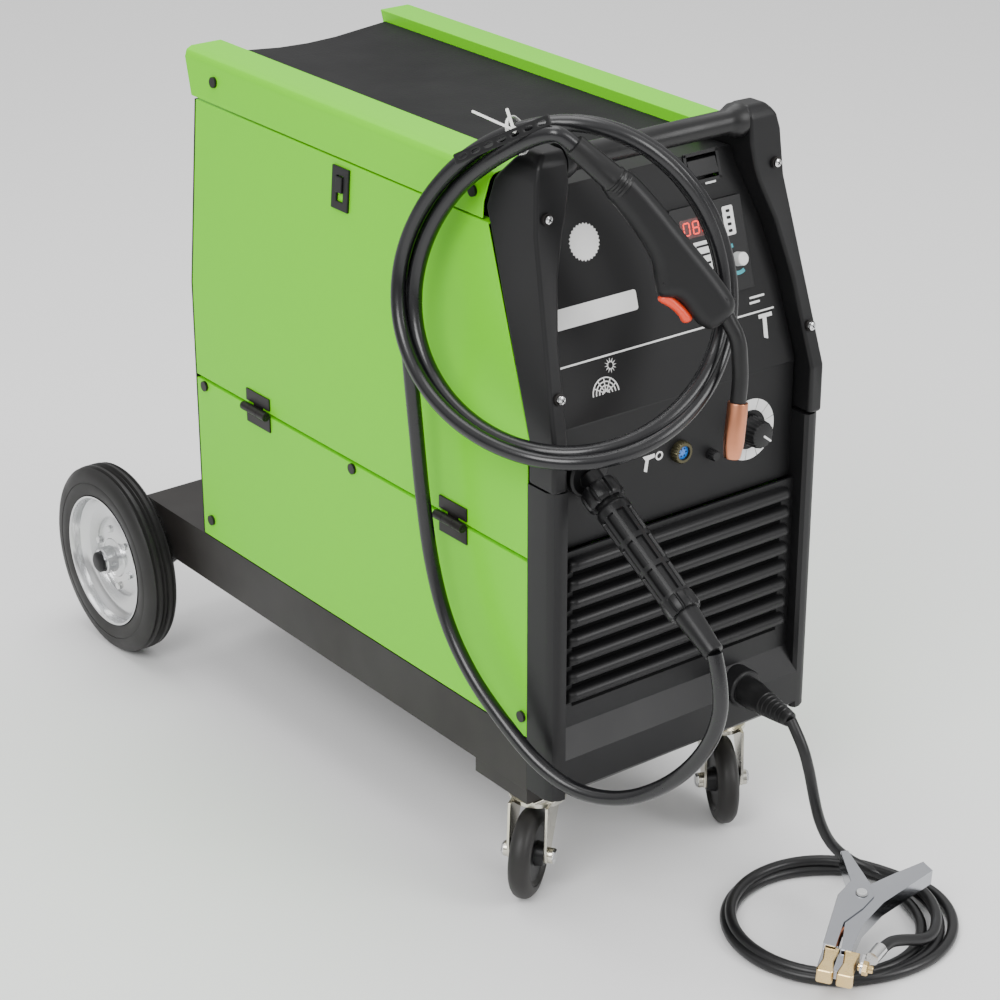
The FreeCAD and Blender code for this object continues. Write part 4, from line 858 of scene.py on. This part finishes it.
# ---------------------------------------------------------------------------
# Gun: two black mouldings screwed together, with a ribbed boot over the hose, an
# orange-red trigger, a sleeved bent neck and a drawn copper nozzle.
def smooth_loop(points, times=2):
    """A closed outline with its corners cut until it runs smoothly."""
    for _ in range(times):
        cutting = []
        for first, second in zip(points, points[1:] + points[:1]):
            cutting.append((first[0] * 0.75 + second[0] * 0.25, first[1] * 0.75 + second[1] * 0.25))
            cutting.append((first[0] * 0.25 + second[0] * 0.75, first[1] * 0.25 + second[1] * 0.75))
        points = cutting
    return points


def cushion(name, outline, half, roll, at, pitch=0.0022):
    """A moulding with an outline in millimetres, full in its middle and rounded off to the
    outline within a distance."""
    edge = [Vector(point) / 1000 for point in smooth_loop(outline)]
    ring = []
    for first, second in zip(edge, edge[1:] + edge[:1]):
        parts = max(1, round((second - first).length / pitch))
        ring += [first.lerp(second, part / parts) for part in range(parts)]
    count = len(ring)
    sides = [(ring[index], ring[(index + 1) % count]) for index in range(count)]

    def inside(point):
        crossings = 0
        for first, second in sides:
            if (first.y > point.y) != (second.y > point.y):
                across = first.x + (point.y - first.y) * (second.x - first.x) / (second.y - first.y)
                crossings += point.x < across
        return crossings % 2 == 1

    def depth(point):
        nearest = 1.0
        for first, second in sides:
            near, share = geometry.intersect_point_line(point, first, second)
            near = first.lerp(second, min(1.0, max(0.0, share)))
            nearest = min(nearest, (point - near).length)
        return nearest

    points = list(ring)
    for index in range(count):
        along = (ring[(index + 1) % count] - ring[index - 1]).normalized()
        for step in (0.0005, 0.0016):
            for spot in (ring[index] + Vector((-along.y, along.x)) * step,
                         ring[index] - Vector((-along.y, along.x)) * step):
                if inside(spot) and depth(spot) > step * 0.9:
                    points.append(spot)
    low = Vector((min(p.x for p in ring), min(p.y for p in ring)))
    high = Vector((max(p.x for p in ring), max(p.y for p in ring)))
    for column in range(int((high.x - low.x) / pitch) + 1):
        for row in range(int((high.y - low.y) / pitch) + 1):
            spot = low + Vector((column, row)) * pitch
            if inside(spot) and depth(spot) > 0.0030:
                points.append(spot)
    flat, _, faces, _, _, _ = geometry.delaunay_2d_cdt(
        points, [(index, (index + 1) % count) for index in range(count)], [], 1, 0.00001)
    form = bmesh.new()
    for sign in (1, -1):
        verts = []
        for point in flat:
            share = min(1.0, depth(point) / (roll / 1000))
            rise = half / 1000 * math.sqrt(max(0.0, 1 - (1 - share) ** 2))
            verts.append(form.verts.new((point.x, point.y, sign * rise)))
        for face in faces:
            form.faces.new([verts[index] for index in face])
    bmesh.ops.remove_doubles(form, verts=form.verts, dist=0.00002)
    bmesh.ops.recalc_face_normals(form, faces=form.faces)
    piece = piece_of(name, form)
    piece.data.transform(at)
    piece.data.shade_smooth()
    return piece


HANDLE_OUTLINE = [(38, -11), (38, 13), (44, 19), (58, 22), (92, 21), (128, 18), (188, 14), (223, 8),
                  (221, -26), (207, -32), (196, -31), (172, -28), (163, -38), (156, -41), (148, -36),
                  (126, -20), (80, -13)]
stand_for(cushion("gun_handle", HANDLE_OUTLINE, 13, 13, GUN), "gun_body", black_plastic)
boot_way = GUN.to_3x3() @ Vector((0.99, 0.10, 0.0))
boot = [lathe("boot", [(-0.006, 0.0086), (-0.006, 0.0108), (-0.002, 0.0114), (0.0405, 0.0130),
                       (0.0430, 0.0146), (0.0445, 0.0146), (0.0455, 0.0138), (0.0475, 0.0138),
                       (0.0485, 0.0150), (0.0505, 0.0150), (0.0515, 0.0140), (0.0535, 0.0140),
                       (0.0545, 0.0152), (0.0570, 0.0152), (0.0585, 0.0130)], GUN_AT, boot_way, 56)]
fit_on(joined("boot_ribs", boot), "gun_body", soft_rubber)
trigger_red = surface("trigger_moulding", (0.72, 0.050, 0.016), (0.78, 0.065, 0.022), 0.30, 0.42, scale=30)
TRIGGER_OUTLINE = [(159, -45), (158, -36), (164, -30), (198, -29), (198, -37), (194, -42), (186, -39.5),
                   (174, -40)]
stand_for(cushion("gun_trigger_lever", TRIGGER_OUTLINE, 6.5, 5, GUN, 0.0016), "gun_trigger", trigger_red)
stand_for(softened("neck_sleeve", "gun_neck", 0.0004, 2), "gun_neck", soft_rubber)
copper = surface("drawn_copper", (0.70, 0.30, 0.17), (0.52, 0.20, 0.11), 0.26, 0.42, metal=1.0, scale=35,
                 grain_scale=300, depth=0.00006)
nozzle_at = GUN @ Vector((0.292, -0.0555, 0.0))
nozzle_way = GUN.to_3x3() @ Vector((0.674, -0.739, 0.0))
nozzle = lathe("nozzle_tube", [(0.0, 0.0082), (0.0, 0.0098), (0.0012, 0.0102), (0.0380, 0.0103),
                               (0.0450, 0.0098), (0.0545, 0.0084), (0.0560, 0.0080), (0.0560, 0.0066),
                               (0.0360, 0.0082)], nozzle_at, nozzle_way, 72)
stand_for(nozzle, "gun_nozzle", copper)
screw_profile = [(0.0, 0.0030), (0.0008, 0.0030), (0.0011, 0.0024), (0.0004, 0.0014), (0.0004, 0.0)]
for number, (along, back) in enumerate(((0.150, -0.027), (0.203, 0.002), (0.206, -0.022))):
    screw = lathe("gun_screw_%d" % number, screw_profile, GUN @ Vector((along, back, 0.0108)), GUN_FACE, 24)
    fit_on(screw, "gun_body", panel_black)

# ---------------------------------------------------------------------------
# Hanging strap: a short strip of perforated black plastic, held to the hank by a white
# nylon cable tie whose tail stands up.
STRAP_FROM = Vector((-0.2052, FRONT + 0.0808, 0.8095))
STRAP_TO = Vector((-0.1609, FRONT - 0.0077, 0.8617))
TOWARDS = Vector((-0.552, -0.723, 0.415))
STRAP_HALF = 0.0055
strap_way = (STRAP_TO - STRAP_FROM).normalized()
strap_wide = strap_way.cross(TOWARDS).normalized()
HOLE = 0.0100
BRIDGE = 0.0055
STRAP_LONG = 0.112
form = bmesh.new()
rows = []
reach = 0.0
for index in range(16):
    bow = TOWARDS * 0.004 * math.sin(math.pi * reach / STRAP_LONG)
    spot = STRAP_FROM + strap_way * reach + bow
    rows.append([form.verts.new(spot + strap_wide * share * STRAP_HALF) for share in (-1, -0.45, 0.45, 1)])
    reach += BRIDGE if index % 2 == 0 else HOLE
for index, (first, second) in enumerate(zip(rows, rows[1:])):
    for column in range(3):
        if column == 1 and index % 2 == 1:
            continue
        form.faces.new((first[column], first[column + 1], second[column + 1], second[column]))
strap = piece_of("hanging_strap", form)
thick = strap.modifiers.new("thickness", "SOLIDIFY")
thick.thickness = 0.0014
soft = strap.modifiers.new("rounding", "SUBSURF")
soft.levels = 2
soft.render_levels = 2
stand_for(strap, "hang_strap", black_plastic)
tie_white = surface("nylon_tie", (0.78, 0.78, 0.75), (0.70, 0.70, 0.68), 0.35, 0.45, scale=60)
tie_at = hank_place(107, 0.0, -0.002)
tie_way = (hank_place(103) - hank_place(111)).normalized()
loop = lathe("tie_loop", [(-0.0016, 0.0182), (-0.0016, 0.0192), (0.0016, 0.0192), (0.0016, 0.0182),
                          (-0.0016, 0.0182)], tie_at, tie_way, 48)
TAIL_WAY = Vector((-0.620, 0.688, 0.373)).normalized()
tail_out = TAIL_WAY.cross(TOWARDS).cross(TAIL_WAY).normalized()
TIE_HEAD_AT = Vector((-0.1738, FRONT + 0.0285, 0.8458))
tail_frame = placed(TAIL_WAY.cross(tail_out), TAIL_WAY, tail_out, TIE_HEAD_AT)
band_frame = placed(strap_wide.cross(TOWARDS), strap_wide, TOWARDS, TIE_HEAD_AT)
band = slab("tie_band", rounded(0.0030, 0.024, 0.0010, 0.0, -0.009), 0.0012, band_frame)
tie_head = slab("tie_head", rounded(0.006, 0.006, 0.001), 0.0050, tail_frame)
tail = slab("tie_tail", rounded(0.0024, 0.044, 0.0008, 0.0, 0.021), 0.0010, tail_frame)
fit_on(joined("cable_tie", [loop, band, tie_head, tail]), "hang_strap", tie_white)

# ---------------------------------------------------------------------------
# Work connector: a panel socket and a bayonet plug in a moulded rubber sleeve, ribbed
# where it tapers onto the cable.
stand_for(softened("work_socket_ring", "work_socket", 0.0012, 3), "work_socket", black_plastic)
PLUG_AT = Vector((0.083, FRONT - 0.022, 0.200))
PLUG_WAY = Vector((-0.05, -1, -0.03))
plug_profile = [(0.0240, 0.0), (0.0240, 0.0158), (0.0300, 0.0162), (0.0400, 0.0160), (0.0440, 0.0148),
                (0.0580, 0.0136)]
for index in range(6):
    start = 0.0580 + 0.0060 * index
    reach = 0.0136 - 0.0008 * index
    plug_profile += [(start + 0.0004, reach), (start + 0.0012, reach - 0.0014),
                     (start + 0.0028, reach - 0.0016), (start + 0.0036, reach - 0.0004),
                     (start + 0.0056, reach - 0.0008)]
plug_profile += [(0.0965, 0.0082), (0.0975, 0.0070), (0.0980, 0.0062)]
stand_for(lathe("plug_sleeve", plug_profile, PLUG_AT, PLUG_WAY, 72), "work_plug", soft_rubber)

# ---------------------------------------------------------------------------
# Work clamp: two crossed jaws pressed from plated steel sheet, with brass contact pads,
# a braided copper shunt between them, and a brass bolt through the cable's lug.
plated = surface("bright_plating", (0.46, 0.47, 0.49), (0.34, 0.35, 0.38), 0.08, 0.20, metal=1.0, scale=20,
                 grain_scale=300, depth=0.00002)
brass = surface("turned_brass", (0.72, 0.50, 0.20), (0.80, 0.62, 0.34), 0.20, 0.32, metal=1.0, scale=60,
                grain_scale=400, depth=0.00003)
stand_for(softened("jaw_upper", "clamp_jaw_upper", 0.0006, 2), "clamp_jaw_upper", plated)
stand_for(softened("jaw_lower", "clamp_jaw_lower", 0.0006, 2), "clamp_jaw_lower", plated)
pivot = [lathe("pivot", [(-0.0130, 0.0), (-0.0130, 0.0055), (-0.0115, 0.0064), (-0.0110, 0.0040),
                         (0.0110, 0.0040), (0.0115, 0.0064), (0.0130, 0.0055), (0.0130, 0.0)],
               CLAMP.translation, CLAMP_UP, 40)]
stand_for(joined("clamp_pivot", pivot), "clamp_fittings", zinc)
for name, node, middle_y in (("pad_upper", "clamp_jaw_upper", -0.009),
                             ("pad_lower", "clamp_jaw_lower", 0.0115)):
    outline = [(-0.127, middle_y - 0.007), (-0.124, middle_y - 0.0090), (-0.108, middle_y - 0.0060),
               (-0.088, middle_y - 0.0085), (-0.088, middle_y + 0.0080), (-0.108, middle_y + 0.0055),
               (-0.124, middle_y + 0.0085), (-0.127, middle_y + 0.007)]
    pad_base = CLAMP @ Matrix.Translation((0, 0, -0.0080))
    fit_on(slab(name, outline, 0.016, pad_base, 0.0014), node, brass)
bolt_way = CLAMP.to_3x3() @ Vector((0.0, -1.0, 0.0))
bolt_at = CLAMP @ Vector((-0.100, -0.018, 0.0))
bolt = [lathe("lug_bolt", [(0.0, 0.0040), (0.0140, 0.0040), (0.0150, 0.0034), (0.0150, 0.0)],
              bolt_at, bolt_way, 32),
        hex_head("lug_nut", bolt_at + bolt_way * 0.0045, bolt_way, 0.015, 0.0060)]
fit_on(joined("lug_bolt_and_nut", bolt), "clamp_jaw_lower", brass)
lug_frame = CLAMP @ Matrix.Translation((-0.096, -0.0225, -0.006)) @ Matrix.Rotation(math.radians(-90), 4, "X")
lug = [slab("lug_plate", rounded(0.022, 0.013, 0.005, 0.002, -0.006), 0.0024, lug_frame),
       lathe("lug_barrel", [(0.0, 0.0052), (0.0, 0.0072), (0.020, 0.0074), (0.020, 0.0062)],
             CLAMP @ Vector((-0.084, -0.0285, 0.0)), CLAMP.to_3x3() @ Vector((0.93, -0.25, -0.05)), 40)]
fit_on(joined("cable_lug", lug), "clamp_jaw_lower", zinc)
braid_points = [CLAMP @ Vector(spot)
                for spot in ((-0.086, 0.009, 0.0), (-0.066, 0.012, 0.003), (-0.052, 0.006, 0.005),
                             (-0.062, -0.002, 0.003), (-0.086, -0.004, 0.0))]
braid = cord_curve("shunt_form", braid_points, 0.007)
mesh = bpy.data.meshes.new_from_object(braid.evaluated_get(bpy.context.evaluated_depsgraph_get()))
bpy.data.objects.remove(braid)
shunt = bpy.data.objects.new("copper_shunt", mesh)
scene.collection.objects.link(shunt)
mesh.shade_smooth()
braided_copper = surface("braided_copper", (0.50, 0.20, 0.11), (0.30, 0.11, 0.06), 0.35, 0.5, metal=1.0,
                         scale=200, grain_scale=900, depth=0.0004)
fit_on(shunt, "clamp_jaw_lower", braided_copper)

# ---------------------------------------------------------------------------
# Inside: the zinc-plated divider and shelf, the wire spool on its spindle, the cast
# drive with its rolls, and the electrics on the deck.
def paint(node, material):
    """A carried-over CAD node gets its finish."""
    piece = frame["nodes"][node]
    piece.data.materials.clear()
    piece.data.materials.append(material)


for node in ("divider_panel", "wire_drive", "pressure_arm", "drive_roll"):
    paint(node, zinc)
laminated = surface("laminated_core", (0.10, 0.09, 0.08), (0.20, 0.13, 0.07), 0.45, 0.6, metal=0.3, scale=60,
                    grain_scale=500, depth=0.0003)
paint("transformer", laminated)
board_green = surface("board_lacquer", (0.010, 0.10, 0.035), (0.015, 0.14, 0.05), 0.25, 0.4, scale=80,
                      coat=0.3)
paint("control_board", board_green)
grey_plastic = surface("grey_moulding", (0.16, 0.16, 0.17), (0.20, 0.20, 0.21), 0.4, 0.55)
for node in ("spool_spindle", "tension_knob", "fan_blades"):
    paint(node, grey_plastic)
low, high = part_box("wire_spool")
spool_at = Vector((high.x, (low.y + high.y) / 2, (low.z + high.z) / 2))
spool_width = high.x - low.x
flange = (high.z - low.z) / 2
drum = lathe("spool_drum", [(0, 0.0251), (0, flange - 0.001), (0.001, flange), (0.003, flange),
                            (0.004, flange - 0.001), (0.004, 0.048), (spool_width - 0.004, 0.048),
                            (spool_width - 0.004, flange - 0.001), (spool_width - 0.003, flange),
                            (spool_width - 0.001, flange), (spool_width, flange - 0.001),
                            (spool_width, 0.0251), (0, 0.0251)], spool_at, (-1, 0, 0), 96)
stand_for(drum, "wire_spool", grey_plastic)
WIRE_ROWS = 46
wound_from = 0.0045
wound_width = spool_width - 2 * wound_from
wound_profile = [(wound_from, 0.048)]
for row in range(WIRE_ROWS):
    start = wound_from + wound_width * row / WIRE_ROWS
    pitch = wound_width / WIRE_ROWS
    wound_profile += [(start, flange - 0.0228), (start + pitch / 2, flange - 0.0220)]
wound_profile += [(spool_width - wound_from, flange - 0.0228), (spool_width - wound_from, 0.048)]
wire_copper = surface("welding_wire", (0.62, 0.30, 0.17), (0.50, 0.22, 0.12), 0.25, 0.4, metal=1.0, scale=60)
fit_on(lathe("wound_wire", wound_profile, spool_at, (-1, 0, 0), 96), "wire_spool", wire_copper)

# ---------------------------------------------------------------------------
# Screws: black pan-head screws with a socket on the sheets, and bright ones sunk in the
# posts.
paint("panel_screws", black_paint)
form = bmesh.new()
form.from_mesh(frame["nodes"]["panel_screws"].data)
unseen = set(form.verts)
heads = []
while unseen:
    island = [unseen.pop()]
    for vert in island:
        for side in vert.link_edges:
            other = side.other_vert(vert)
            if other in unseen:
                unseen.discard(other)
                island.append(other)
    middle = sum((vert.co for vert in island), Vector()) / len(island)
    if middle.y < FRONT + 0.040 and middle.z > 0.50:
        front = min(vert.co.y for vert in island)
        at = Vector((middle.x, front - 0.0003, middle.z))
        heads.append(lathe("screw_head", [(0.0, 0.0), (0.0, 0.0042), (0.0010, 0.0042), (0.0018, 0.0030),
                                          (0.0020, 0.0)], at, (0, -1, 0), 32))
        for turned_by in (45, 135):
            cross = on_upright(0, 0) @ Matrix.Rotation(math.radians(turned_by), 4, "Z")
            cross.translation = at + Vector((0, -0.0017, 0))
            heads.append(slab("screw_cross", rounded(0.0052, 0.0011, 0.0003), 0.0005, cross))
form.free()
fit_on(joined("post_screws", heads), "panel_screws", zinc)


# ---------------------------------------------------------------------------
# Floor and light: a pale studio floor that runs off as one sheet, three large soft
# lamps and a surround that brightens upward.
floor_mesh = bpy.data.meshes.new("studio_floor")
FLOOR_HALF = 14.0
floor_mesh.from_pydata([(-FLOOR_HALF, -FLOOR_HALF, 0), (FLOOR_HALF, -FLOOR_HALF, 0),
                        (FLOOR_HALF, FLOOR_HALF, 0), (-FLOOR_HALF, FLOOR_HALF, 0)], [], [(0, 1, 2, 3)])
studio_floor = bpy.data.objects.new("studio_floor", floor_mesh)
scene.collection.objects.link(studio_floor)
studio_floor.data.materials.append(surface("studio_paper", (0.86, 0.86, 0.86), (0.84, 0.84, 0.84), 0.6, 0.7,
                                           scale=1.0, grain_scale=200, depth=0.0))


def lamp(name, at, aim, width, height, power):
    """A soft rectangular lamp that faces a place."""
    light = bpy.data.lights.new(name, "AREA")
    light.shape = "RECTANGLE"
    light.size = width
    light.size_y = height
    light.energy = power
    holder = bpy.data.objects.new(name, light)
    holder.location = at
    holder.rotation_euler = (Vector(aim) - Vector(at)).to_track_quat("-Z", "Y").to_euler()
    scene.collection.objects.link(holder)


lamp("key_lamp", (-2.6, -1.6, 2.8), (0, 0, 0.4), 1.8, 1.8, 95)
lamp("front_lamp", (1.4, -3.0, 1.9), (0, -0.3, 0.4), 1.4, 1.8, 55)
lamp("top_lamp", (0.2, 0.6, 3.4), (0, 0, 0.4), 2.4, 2.4, 60)
world = bpy.data.worlds.new("surround")
scene.world = world
world.use_nodes = True
sky = world.node_tree
direction = sky.nodes.new("ShaderNodeTexCoord")
parts_of = sky.nodes.new("ShaderNodeSeparateXYZ")
sky.links.new(direction.outputs["Generated"], parts_of.inputs["Vector"])
rise = sky.nodes.new("ShaderNodeMapRange")
rise.interpolation_type = "SMOOTHSTEP"
rise.inputs["From Min"].default_value = -0.05
rise.inputs["From Max"].default_value = 0.75
rise.inputs["To Min"].default_value = 0.40
rise.inputs["To Max"].default_value = 1.15
sky.links.new(parts_of.outputs["Z"], rise.inputs["Value"])
sky.links.new(rise.outputs["Result"], sky.nodes["Background"].inputs["Color"])
sky.nodes["Background"].inputs["Strength"].default_value = 1.0
